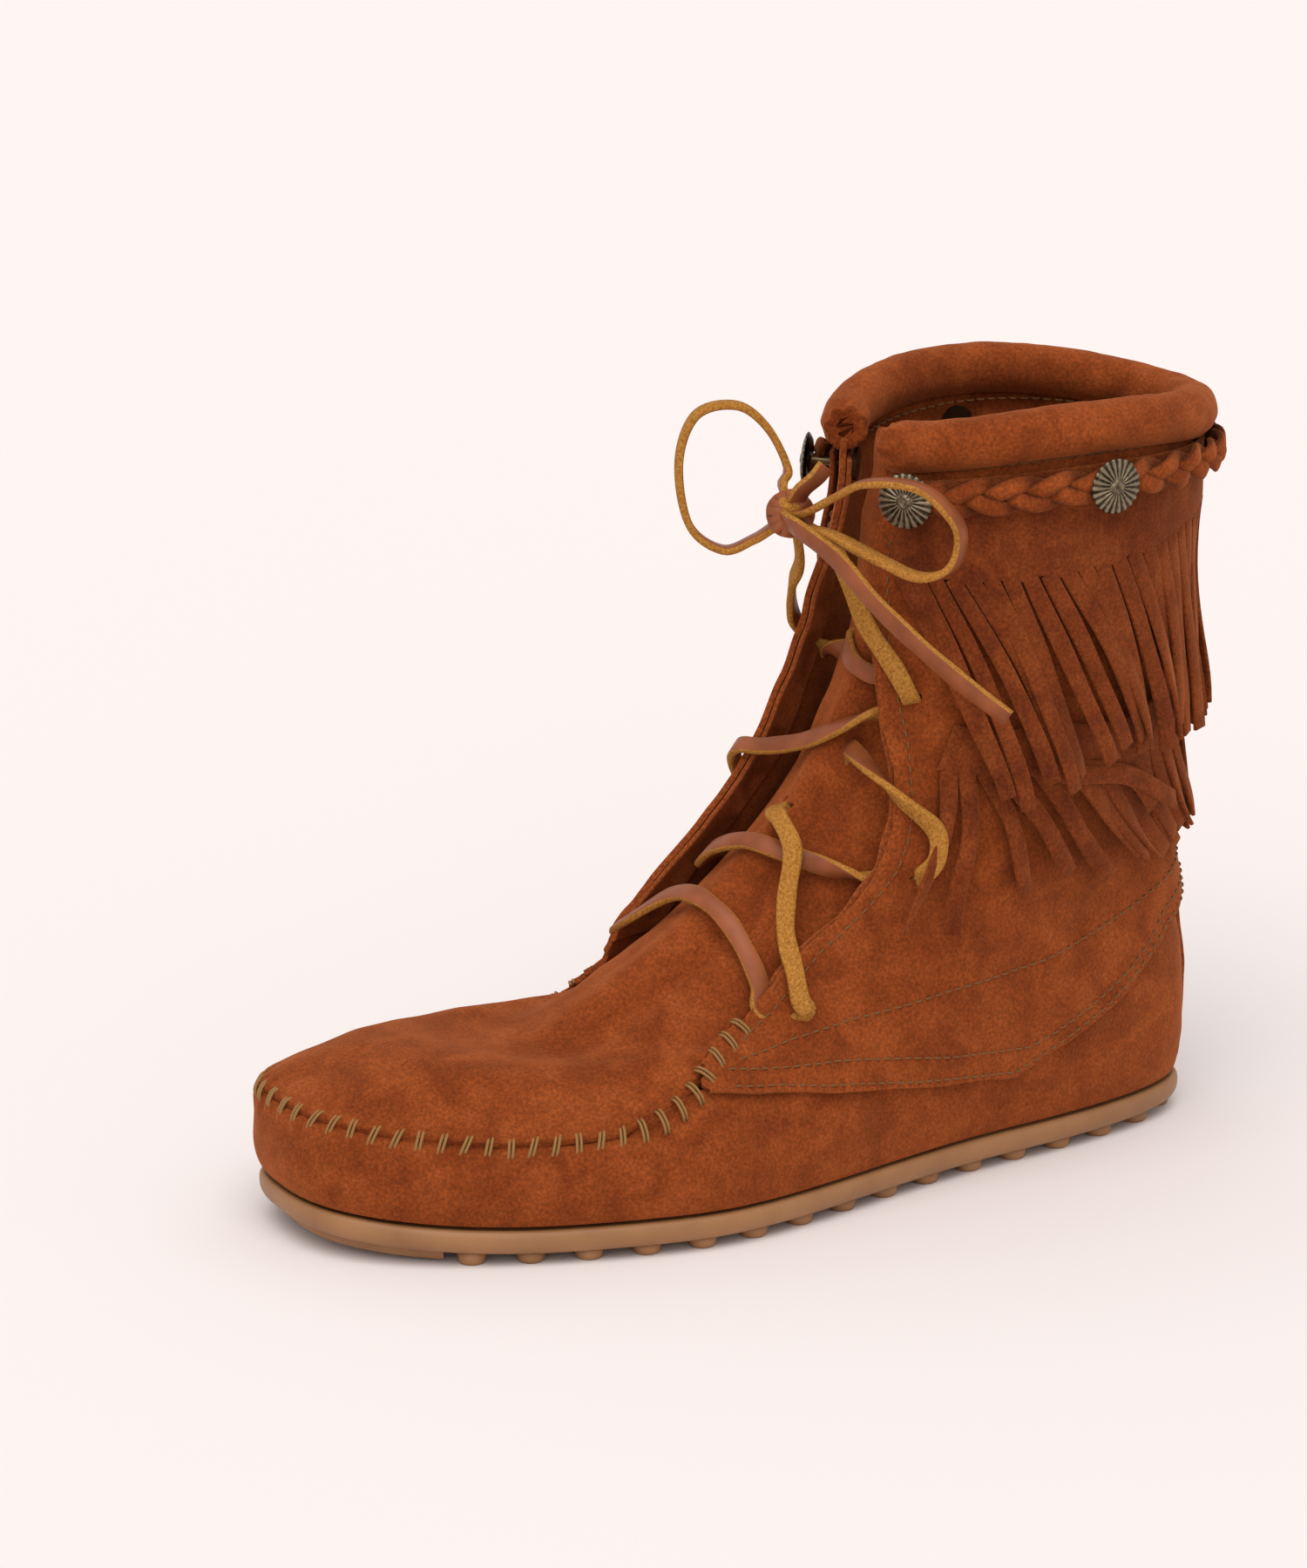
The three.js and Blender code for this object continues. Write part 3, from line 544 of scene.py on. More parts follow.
def soften(piece: Object, width: float, segments: int, above: float) -> None:
    """Softens the edges that turn by more than above degrees, as a knife leaves them in leather."""
    soft = piece.modifiers.new("cut_edge", "BEVEL")
    soft.width = width * MM
    soft.segments = segments
    soft.limit_method = "ANGLE"
    soft.angle_limit = math.radians(above)


def flatten(piece: Object, corners: int) -> None:
    """Shades the faces with more corners than that flat."""
    for face in piece.data.polygons:
        face.use_smooth = len(face.vertices) <= corners


def grid(bm: Mesh, columns: int, rows: int, place: Place, closed: bool = False,
         capped: bool = False, marks: dict[str, Place] | None = None) -> list[bmesh.types.BMVert]:
    """Adds a grid and carries its vertices to their places.

    Args:
        bm: Where the grid is added.
        columns: Cells along u.
        rows: Cells along v.
        place: Gives places in mm for arrays of u and v from 0 to 1.
        closed: Whether the edges v = 0 and v = 1 meet and are welded, as round a cord.
        capped: Whether the open ends are filled.
        marks: Names and functions of u and v for numbers kept at each vertex for the material.
    Returns:
        The grid's vertices that are left.
    """
    kept = bm.verts.layers.float
    layers = {name: kept.get(name) or kept.new(name) for name in marks or {}}
    made = bmesh.ops.create_grid(bm, x_segments=columns, y_segments=rows, size=0.5, calc_uvs=True)["verts"]
    u, v = np.array([v.co[:2] for v in made]).T + 0.5
    for vert, spot in zip(made, place(u, v) * MM):
        vert.co = spot
    for name, layer in layers.items():
        for vert, value in zip(made, marks[name](u, v)):
            vert[layer] = value
    if closed:
        bmesh.ops.remove_doubles(bm, verts=made, dist=WELD)
        made = [v for v in made if v.is_valid]
    if capped:
        ends = [e for e in {e for v in made for e in v.link_edges} if e.is_boundary]
        bmesh.ops.holes_fill(bm, edges=ends, sides=0)
    if closed:
        bmesh.ops.recalc_face_normals(bm, faces=list({f for v in made for f in v.link_faces}))
    return made


def finish_piece(bm: Mesh, name: str, material: Material, body: str | None,
                 nodes: Sequence[str] = ()) -> Object:
    """Turns a bmesh to a smooth-shaded piece with its finish, its body and the nodes that it stands for.

    Args:
        bm: The piece's mesh, freed here.
        name: The piece's name.
        material: Its finish.
        body: The body that it rides on, or None where it is blended later.
        nodes: CAD nodes that it replaces.
    Returns:
        The new object.
    """
    mesh = bpy.data.meshes.new(name)
    for face in bm.faces:
        face.smooth = True
    bm.to_mesh(mesh)
    bm.free()
    piece = bpy.data.objects.new(name, mesh)
    bpy.context.scene.collection.objects.link(piece)
    mesh.materials.append(material)
    if body:
        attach(piece, body)
    if nodes:
        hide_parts(*nodes)
    log.info("%s: %d faces", name, len(mesh.polygons))
    return piece


def cut_slots(bm: Mesh, slots: Array, out: Place, half: float = 3.2, narrow: float = 1.1) -> None:
    """Cuts level lace slots, half mm long and narrow mm high either way, at (angle, level) places."""
    middles = SKIN.worn(slots[:, 0], slots[:, 1], out(slots[:, 0], slots[:, 1])) * MM
    cut = []
    for face in bm.faces:
        away = (np.array(face.calc_center_median()) - middles) / MM
        flat = (np.hypot(away[:, 0], away[:, 1]) / half) ** 2 + (away[:, 2] / narrow) ** 2
        if flat.min() < 1:
            cut.append(face)
    bmesh.ops.delete(bm, geom=cut, context="FACES")


def leaf(name: str, columns: int, rows: int, spot: Spot, out: Place, thickness: float, material: Material,
         raw: Place | None = None, holes: Knots = ()) -> Object:
    """A piece of leather on the skin: one dense sheet, given its thickness inwards and a soft cut edge.

    Args:
        name: The piece's name, which is also that of the CAD node that it replaces.
        columns: Cells round the foot.
        rows: Cells up the foot.
        spot: Gives (angle, level) for arrays of u and v.
        out: Gives its outer face's distance from the skin in mm for arrays of angle and level.
        thickness: Leather thickness in mm.
        material: Its finish.
        raw: Gives how raw the edge is, 0 to 1, for arrays of u and v.
        holes: Lace slots, as (angle, level) of their middles.
    Returns:
        The piece.
    """
    bm = new_mesh()

    def place(u: Array, v: Array) -> Array:
        """Lays the sheet on the skin."""
        angle, level = spot(u, v)
        return SKIN.worn(angle, level, out(angle, level))

    grid(bm, columns, rows, place, marks={"raw_edge": raw} if raw else None)
    bm.normal_update()
    if holes:
        cut_slots(bm, np.array(holes, float), out)
    angle, level = spot(np.array([0.48, 0.52]), np.array([0.5, 0.5]))
    if angle[1] < angle[0]:
        bmesh.ops.reverse_faces(bm, faces=bm.faces)
    piece = finish_piece(bm, name, material, "root", [name])
    thick = piece.modifiers.new("leather", "SOLIDIFY")
    thick.thickness = thickness * MM
    thick.offset = -1
    soften(piece, 0.35, 2, 60)
    return piece


# sections of a thong and of a thread, across and up, for a width and a thickness of 1
BAND = [(-0.5, 0.30), (-0.42, 0.5), (0, 0.5), (0.42, 0.5), (0.5, 0.30), (0.5, -0.3), (0.42, -0.5),
        (0, -0.5), (-0.42, -0.5), (-0.5, -0.30)]
BAND_EDGE = (0.9, 0.25, 0, 0.25, 0.9, 0.9, 0.2, 0, 0.2, 0.9)  # how raw each corner of the band is
BAND_GRAIN = (0, 1, 1, 1, 0, 0, 0, 0, 0, 0)  # the corners on its smooth face
ROUND = [(0.5 * math.cos(k * math.pi / 3), 0.5 * math.sin(k * math.pi / 3)) for k in range(6)]


def strand(bm: Mesh, centres: Array, out: Array, width: Array | float, thickness: Array | float,
           section: Sequence[tuple[float, float]] = BAND,
           marks: dict[str, Array | Sequence[float]] | None = None) -> list[bmesh.types.BMVert]:
    """Sweeps a section along a line: a flat thong, a cut strip or a thread.

    Args:
        bm: Where it is added.
        centres: Rows of places in mm.
        out: The direction that its top face looks at each place; made square to the line here.
        width: Its width in mm, at each place or all along.
        thickness: Its thickness in mm.
        section: The section's corners, across and up, for a width and thickness of 1.
        marks: Numbers kept for the material, by name: one for each corner, or rows of them along the line.
    Returns:
        Its vertices.
    """
    run = tangents(centres)
    up = unit(out - run * np.sum(out * run, axis=1, keepdims=True))
    wide = np.cross(up, run)
    ring = np.array([*section, section[0]])
    last = len(centres) - 1
    width = np.broadcast_to(width, len(centres))
    thickness = np.broadcast_to(thickness, len(centres))

    def place(u: Array, v: Array) -> Array:
        """Carries the grid round the section."""
        row = np.rint(u * last).astype(int)
        corner = ring[np.rint(v * (len(ring) - 1)).astype(int)]
        return (centres[row] + wide[row] * (corner[:, :1] * width[row, None])
                + up[row] * (corner[:, 1:] * thickness[row, None]))

    def kept(values: Array | Sequence[float]) -> Place:
        """Reads a table of numbers at the grid's u and v."""
        corners = len(section)
        table = np.broadcast_to(values, (len(centres), corners))
        return lambda u, v: table[np.rint(u * last).astype(int), np.rint(v * corners).astype(int) % corners]

    return grid(bm, last, len(section), place, closed=True, capped=True,
                marks={name: kept(values) for name, values in (marks or {}).items()})


# ---------------------------------------------------------------- the plug seam
@dataclass
class PlugSeam:
    """The puckered seam that joins the plug to the vamp, whip-stitched with doubled thread."""

    pitch: float = 5.8
    stitch_length: float = 6.6
    thread: float = 0.85
    climb: float = 1.9  # the stitches ride this much higher where the seam climbs beside the quarters
    samples: int = 900
    knots: Knots = (
        (0, 1.87), (12, 1.87), (25, 1.87), (38, 1.875), (50, 1.88), (55, 1.96), (60, 2.0), (64.5, 2.1),
        (68.6, 2.35), (70, 2.64), (70.5, 3.14), (68.6, 3.62), (66, 4.25), (61.8, 4.93),
    )
    line: Array = field(init=False)
    tree: kdtree.KDTree = field(init=False)

    def __post_init__(self) -> None:
        """Lays the seam out on the skin, from one end round the toe to the other."""
        half = np.array(self.knots, float)
        both = np.vstack([half[:0:-1] * (-1, 1), half])
        fine = thread_through(both, self.samples)
        places = SKIN.point(fine[:, 0], fine[:, 1])
        self.line = np.column_stack([places, fine, distances(places)])
        self.tree = kdtree.KDTree(len(places))
        for k, p in enumerate(places):
            self.tree.insert(p, k)
        self.tree.balance()

    def pucker(self, angle: Array, level: Array) -> Array:
        """How far the gathered leather stands out near the seam, in mm."""
        spots = SKIN.point(angle, level)
        found = [self.tree.find(p) for p in spots]
        away = np.array([f[2] for f in found])
        run = self.line[np.array([f[1] for f in found]), 5]
        wave = -np.cos(2 * math.pi * run / self.pitch)
        ridge = 0.9 * np.exp(-((away / 4.5) ** 2))
        gather = 0.5 * wave * np.exp(-((away / 4.2) ** 2))
        groove = -1.35 * np.exp(-((away / 0.9) ** 2))
        return ridge + gather + groove

    def stitches(self, material: Material) -> Object:
        """Makes the whip stitches: two threads side by side over the seam, ends sunk in the leather."""
        bm = new_mesh("ply")
        run = self.line[:, 5]
        t = np.linspace(-1, 1, 9)
        for k, at in enumerate(np.arange(self.pitch / 2, run[-1], self.pitch)):
            row = int(np.argmin(np.abs(run - at)))
            centre, angle, level = self.line[row, :3], self.line[row, 3], self.line[row, 4]
            out = SKIN.normal(angle, level)[0]
            travel = unit(self.line[min(row + 3, self.samples - 1), :3] - self.line[max(row - 3, 0), :3])
            tilt = 0.14 * math.sin(k * 1.9) + 0.22 * np.sign(angle)
            across = unit(np.cross(out, travel) + travel * tilt)
            dent = SKIN.worn(angle, level, 0) - SKIN.point(angle, level)
            arch = 1.15 - 2.0 * np.abs(t) ** 3.2 + self.climb * ease((level - 2.15) / 0.3)
            for side in (-0.5, 0.5):
                base = centre + travel * side * self.thread * 1.25
                path = base + dent + np.outer(t * self.stitch_length / 2, across) + np.outer(arch, out)
                strand(bm, path, np.tile(out, (len(t), 1)), self.thread, self.thread, ROUND)
        return finish_piece(bm, "plug_seam_stitches", material, "root")


SEAM = PlugSeam()


# ---------------------------------------------------------------- foot part
@dataclass
class FootPart:
    """Vamp, plug with tongue, and back stay."""

    leather: float = 1.6
    layer_gap: float = 0.6
    stay_half_angle: float = 4.5
    tuck: float = 1.3
    vamp_top: Knots = (
        (0, 1.862), (50, 1.872), (60, 1.99), (66, 2.15), (69, 2.9), (72, 3.3), (82, 3.2), (98, 2.6),
        (114, 2.05), (122, 2.4), (133, 2.8), (150, 3.4), (165, 3.6), (180, 3.6),
    )
    plug_edge: Knots = (
        (1.872, 50), (1.96, 57), (2.12, 65), (2.9, 69.5), (3.6, 68.2), (4.25, 66), (4.9, 62), (5.5, 64),
        (6.2, 68), (7.2, 60), (8.2, 42), (9, 36), (10, 34),
    )
    tongue_slots: Knots = ((-8, 8.14), (25, 7.4), (4, 7.0))
    tongue_drop: Knots = (
        (1.8, 0), (3.4, 0), (4.4, 1.7), (5.4, 2), (6.6, 3.6), (7.2, 5), (9.2, 5), (9.6, 6.8), (10, 6.8),
    )

    def vamp(self, suede: Material) -> None:
        """Makes the vamp, which wraps the foot from the toe to the heel."""

        def spot(u: Array, v: Array) -> tuple[Array, Array]:
            """Round from heel to heel, and up from the welt to the seam."""
            angle = mix(-179.8, 179.8, u)
            return angle, mix(0.1, along(self.vamp_top, np.abs(angle)), v)

        leaf("vamp", 620, 46, spot, SEAM.pucker, self.leather, suede)

    def plug(self, suede: Material) -> None:
        """Makes the plug over the toes, which runs up as the tongue behind the lace."""

        def spot(u: Array, v: Array) -> tuple[Array, Array]:
            """Across the plug, and up it with finer rows at the toe seam."""
            level = mix(1.872, 10, v**1.25)
            reach = along(self.plug_edge, level) + self.tuck * ease((level - 1.9) / 0.1)
            return mix(-1, 1, u) * reach, level

        def out(angle: Array, level: Array) -> Array:
            """The tongue sinks under the flaps, with a long fold down its middle."""
            fold = ease((level - 4.2) / 1.6) * ease((9.6 - level) / 1.5)
            crease = 2.0 * np.exp(-(((angle - 6) / 9) ** 2)) - 2.2 * np.exp(-(((angle - 27) / 8) ** 2))
            sag = -1.6 * ease(level - 3.4) * ease(5.6 - level) * np.cos(np.radians(angle * 1.2))
            past = np.abs(angle) - along(self.plug_edge, level)
            under = -1.4 * ease((past + 0.3) / 1.0) * ease((level - 1.9) / 0.1) * ease((3.9 - level) / 0.3)
            return -along(self.tongue_drop, level) + SEAM.pucker(angle, level) + fold * crease + sag + under

        leaf("plug_tongue", 150, 300, spot, out, self.leather, suede, holes=self.tongue_slots)

    def back_stay(self, trim: Material) -> None:
        """Makes the raw-edged strip that covers the heel seam."""

        def spot(u: Array, v: Array) -> tuple[Array, Array]:
            """A narrow strip up the heel with a slightly wavy edge."""
            wave = 0.12 * np.sin(v * 37) * np.sign(u - 0.5)
            return 180 + mix(-self.stay_half_angle, self.stay_half_angle, u) + wave, mix(0.1, 3.05, v)

        def raw(u: Array, v: Array) -> Array:
            """Raw along both long edges."""
            return np.exp(-((0.5 - np.abs(u - 0.5)) / 0.08) ** 2)

        def out(angle: Array, level: Array) -> Array:
            """Its outer face, one layer out."""
            return np.full(angle.shape, self.layer_gap + self.leather)

        leaf("back_stay", 16, 60, spot, out, self.leather, trim, raw)


# ---------------------------------------------------------------- shaft
class Side(Enum):
    """The two sides of the foot."""

    LATERAL = 1
    MEDIAL = -1


@dataclass
class Quarter:
    """One side of the shaft with its facing, sewn low on the foot and curling at its raw front edge."""

    side: Side
    lift: float
    edge: Knots
    slots: Knots
    leather: float = 1.6
    facing_leather: float = 1.2
    layer_gap: float = 0.6
    lap_gap: float = 0.3
    gap: float = 0.3
    facing_angle: float = 15.0
    bottom: Knots = (
        (72, 3), (82, 2.8), (98, 2.07), (114, 1.55), (122, 1.9), (133, 2.27), (150, 2.95), (165, 3.2),
        (180, 3.25),
    )

    @property
    def name(self) -> str:
        """Lateral or medial."""
        return self.side.name.lower()

    def flap_lift(self, angle: Array, level: Array) -> Array:
        """How far the free edge curls away from the tongue."""
        from_edge = np.abs(angle) - along(self.edge, level)
        return self.lift * ease(1 - from_edge / 24) * ease((level - 4.6) / 1.8) * ease((9.4 - level) / 1.2)

    def inner(self, angle: Array, level: Array) -> Array:
        """Distance of the leather's inner face from the skin."""
        return self.layer_gap + self.lap_gap * ease(4.4 - level) + self.flap_lift(angle, level)

    def outer(self, angle: Array, level: Array) -> Array:
        """Distance of the leather's outer face from the skin."""
        return self.inner(angle, level) + self.leather

    def angle_at(self, share: Array, level: Array) -> Array:
        """The angle a share of the way back from the free edge to the heel."""
        edge = along(self.edge, level)
        return edge + (179.7 - edge) * share

    def make(self, suede: Material, trim: Material) -> None:
        """Makes the quarter and its facing."""

        def spot(u: Array, v: Array) -> tuple[Array, Array]:
            """Back from the free edge and up from the bottom edge, both cut by hand and so uneven."""
            share = u**1.35
            low = np.full(u.shape, 2.5)
            for _ in range(20):
                low = mix(low, along(self.bottom, self.angle_at(share, low)), 0.6)
            level = mix(low + 0.02 * np.sin(share * 61), 10, v**1.05)
            ragged = 0.4 * np.sin(level * 13) + 0.16 * np.sin(level * 31 + 1)
            return self.side.value * (self.angle_at(share, level) + ragged * np.exp(-share * 30)), level

        def raw(u: Array, v: Array) -> Array:
            """Raw along the free edge and the bottom edge."""
            return np.maximum(np.exp(-((u / 0.045) ** 2)), 0.7 * np.exp(-((v / 0.012) ** 2)))

        leaf(f"{self.name}_quarter", 190, 230, spot, self.outer, self.leather, suede, raw, holes=self.slots)

        def facing_spot(u: Array, v: Array) -> tuple[Array, Array]:
            """A strip behind the free edge that shows a little in front of it."""
            level = mix(5.45, 9.72, v)
            ragged = 0.3 * np.sin(level * 17 + 2) * (1 - u)
            return self.side.value * (along(self.edge, level) - 1.6 + u * self.facing_angle + ragged), level

        def facing_out(angle: Array, level: Array) -> Array:
            """Just under the quarter."""
            return self.inner(angle, level) - self.gap

        def facing_raw(u: Array, v: Array) -> Array:
            """Raw along its front edge."""
            return np.exp(-((u / 0.12) ** 2))

        leaf(f"{self.name}_lace_facing", 24, 170, facing_spot, facing_out, self.facing_leather, trim,
             facing_raw, self.slots)


LATERAL = Quarter(
    Side.LATERAL,
    lift=3.0,
    edge=(
        (3, 72), (4.1, 64), (4.8, 61), (5.4, 58), (5.9, 57), (6.2, 60), (6.6, 58), (7.2, 47), (7.7, 32),
        (8.2, 21), (9, 15), (10, 17),
    ),
    slots=((39.8, 7.84), (72, 6.43), (74.3, 4.6)),
)
MEDIAL = Quarter(
    Side.MEDIAL,
    lift=6.0,
    edge=(
        (3, 72), (4.1, 64), (5, 52), (5.6, 42), (6.2, 33), (6.8, 28), (7.4, 26), (8, 23), (9, 16), (10, 17),
    ),
    slots=((-37.5, 7.93), (-65.5, 6.44), (-71, 4.62)),
)


def quarter_outer(angle: Array, level: Array) -> Array:
    """Distance of whichever quarter's outer face from the skin, for angles from 0 to 360."""
    turned = (np.asarray(angle) + 180) % 360 - 180
    return np.where(turned < 0, MEDIAL.outer(np.abs(turned), level), LATERAL.outer(np.abs(turned), level))


# ---------------------------------------------------------------- stitching
@dataclass
class StitchRow:
    """A row of lockstitch: short threads, each sunk at its ends."""

    name: str
    knots: Knots
    pitch: float = 3.1
    length: float = 2.3
    thread: float = 0.55
    lift: float = 0.12
    inside: bool = False

    def make(self, material: Material) -> Object:
        """Lays the stitches along (angle, level) knots, angles from 0 to 360."""
        bm = new_mesh("ply")
        angle, level = thread_through(self.knots, 400).T
        out = np.full(angle.shape, -0.75) if self.inside else quarter_outer(angle, level)
        facing = -1.0 if self.inside else 1.0
        normal = SKIN.normal(angle, level) * facing
        line = SKIN.worn(angle, level, out)
        run = distances(line)
        t = np.linspace(-0.5, 0.5, 6)
        for k in range(int(run[-1] / self.pitch)):
            at = (k + 0.5) * self.pitch + t * self.length
            place = sample(line, run, at)
            up = unit(sample(normal, run, at))
            arch = self.lift + self.thread * (0.35 - 1.6 * np.abs(t * 2) ** 3)
            strand(bm, place + up * arch[:, None], up, self.thread, self.thread, ROUND)
        return finish_piece(bm, self.name, material, "root")


def both_sides(name: str, knots: Knots) -> list[StitchRow]:
    """The same row on the outer and the inner side of the shoe."""
    mirrored = tuple((360 - angle, level) for angle, level in knots)
    return [StitchRow(f"{name}_lateral", knots), StitchRow(f"{name}_medial", mirrored)]


@dataclass
class Stitching:
    """Every visible row of machine stitching."""

    edge_inset: float = 5.0
    low: Knots = (
        (75, 3.08), (82.4, 2.92), (98.6, 2.2), (114, 1.68), (122.5, 2.04), (133, 2.4), (150, 3.06),
        (174, 3.3),
    )
    second: Knots = (
        (71.5, 3.5), (88.3, 3.2), (103, 2.55), (116, 2.15), (125.4, 2.42), (137, 2.75), (150, 3.3),
        (174, 3.5),
    )
    upper: Knots = (
        (72, 3.7), (78, 4.0), (84.8, 4.12), (98.9, 4.12), (117.5, 3.86), (144.5, 3.79), (174, 3.85),
    )

    def rows(self) -> list[StitchRow]:
        """The rows: three across each quarter, one along each free edge, and the collar's outer and inner
        rows.
        """
        rows = both_sides("quarter_low_row", self.low) + both_sides("quarter_second_row", self.second)
        rows += both_sides("quarter_upper_row", self.upper)
        for flap in (LATERAL, MEDIAL):
            levels = np.linspace(4.15, 9.2, 22)
            angles = along(flap.edge, levels) + self.edge_inset * (1 + 0.4 * (levels > 7.3))
            turned = angles if flap.side is Side.LATERAL else 360 - angles
            rows.append(StitchRow(f"{flap.name}_facing_row", tuple(zip(turned.tolist(), levels.tolist()))))
        outside = tuple((angle, 9.80) for angle in range(20, 341, 8))
        inside = tuple((angle, 9.74) for angle in range(24, 337, 8))
        rows.append(StitchRow("collar_row", outside, lift=0.5))
        rows.append(StitchRow("collar_inner_row", inside, lift=0.5, inside=True))
        return rows

    def make(self, material: Material) -> None:
        """Makes all rows."""
        for row in self.rows():
            row.make(material)


# ---------------------------------------------------------------- collar
@dataclass
class Collar:
    """The rolled, padded collar: suede folded over foam and sewn down, its cut ends gathered."""

    start: float = 18.0
    leather: float = 1.6
    heart: float = 3.2  # height of the roll's middle above the shaft's edge
    around: int = 56
    section: Knots = (
        (2.7, -3.4), (3.6, -2.5), (5.2, -0.9), (6.15, 1.2), (6.3, 3.2), (5.9, 5.4), (4.7, 7.6),
        (2.7, 9.1), (0, 9.6), (-2.7, 9.1), (-4.7, 7.6), (-5.9, 5.4), (-6.3, 3.2), (-6.15, 1.2),
        (-5.2, -0.9), (-3.6, -2.5), (-2.7, -3.4), (0, -3.7),
    )

    def make(self, suede: Material) -> None:
        """Makes the collar as one stuffed roll."""
        bm = new_mesh()
        loop = np.array([*self.section, self.section[0]], float)
        fine = spline(np.column_stack([loop, np.zeros(len(loop))]), self.around + 1)[:, :2]
        fine[-1] = fine[0]

        def place(u: Array, v: Array) -> Array:
            """Carries the section round the shaft's top edge, with soft lumps and puckered ends."""
            angle = mix(self.start, 360 - self.start, u)
            top = np.full(angle.shape, SKIN.last_level)
            middle = SKIN.off(angle, top, np.full(angle.shape, 0.6 + self.leather / 2))
            middle[:, 2] = SKIN.point(angle, top)[:, 2]
            out = level_out(SKIN.normal(angle, top))
            corner = fine[np.rint(v * self.around).astype(int)]
            end = np.minimum(u, 1 - u)
            close = 1 - 0.16 * np.exp(-((end / 0.012) ** 2))
            base = middle + out * corner[:, :1] + UP * corner[:, 1:]
            turn = np.arctan2(corner[:, 1] - self.heart, corner[:, 0])
            tuck = 0.55 * np.sin(turn * 7 + 1) * np.exp(-((end / 0.022) ** 2))
            dents = 0.38 * lumps(base, 11, 5.3) + 0.22 * lumps(base, 4.5, 2.9)
            upper = ease((corner[:, 1] + 3.0) / 3.0)
            away = unit(out * corner[:, :1] + UP * (corner[:, 1:] - self.heart))
            heart = middle + UP * self.heart
            return heart + (base - heart) * close[:, None] + away * ((dents + tuck) * upper)[:, None]

        grid(bm, 420, self.around, place, closed=True)
        ends = [e for e in bm.edges if e.is_boundary]
        for cap in bmesh.ops.holes_fill(bm, edges=ends, sides=0)["faces"]:
            bmesh.ops.inset_region(bm, faces=[cap], thickness=1.2 * MM, depth=-0.5 * MM)
            bmesh.ops.inset_region(bm, faces=[cap], thickness=1.6 * MM, depth=-1.0 * MM)
        bmesh.ops.recalc_face_normals(bm, faces=bm.faces)
        roll = finish_piece(bm, "padded_collar", suede, "root", ["collar_cover", "collar_foam"])


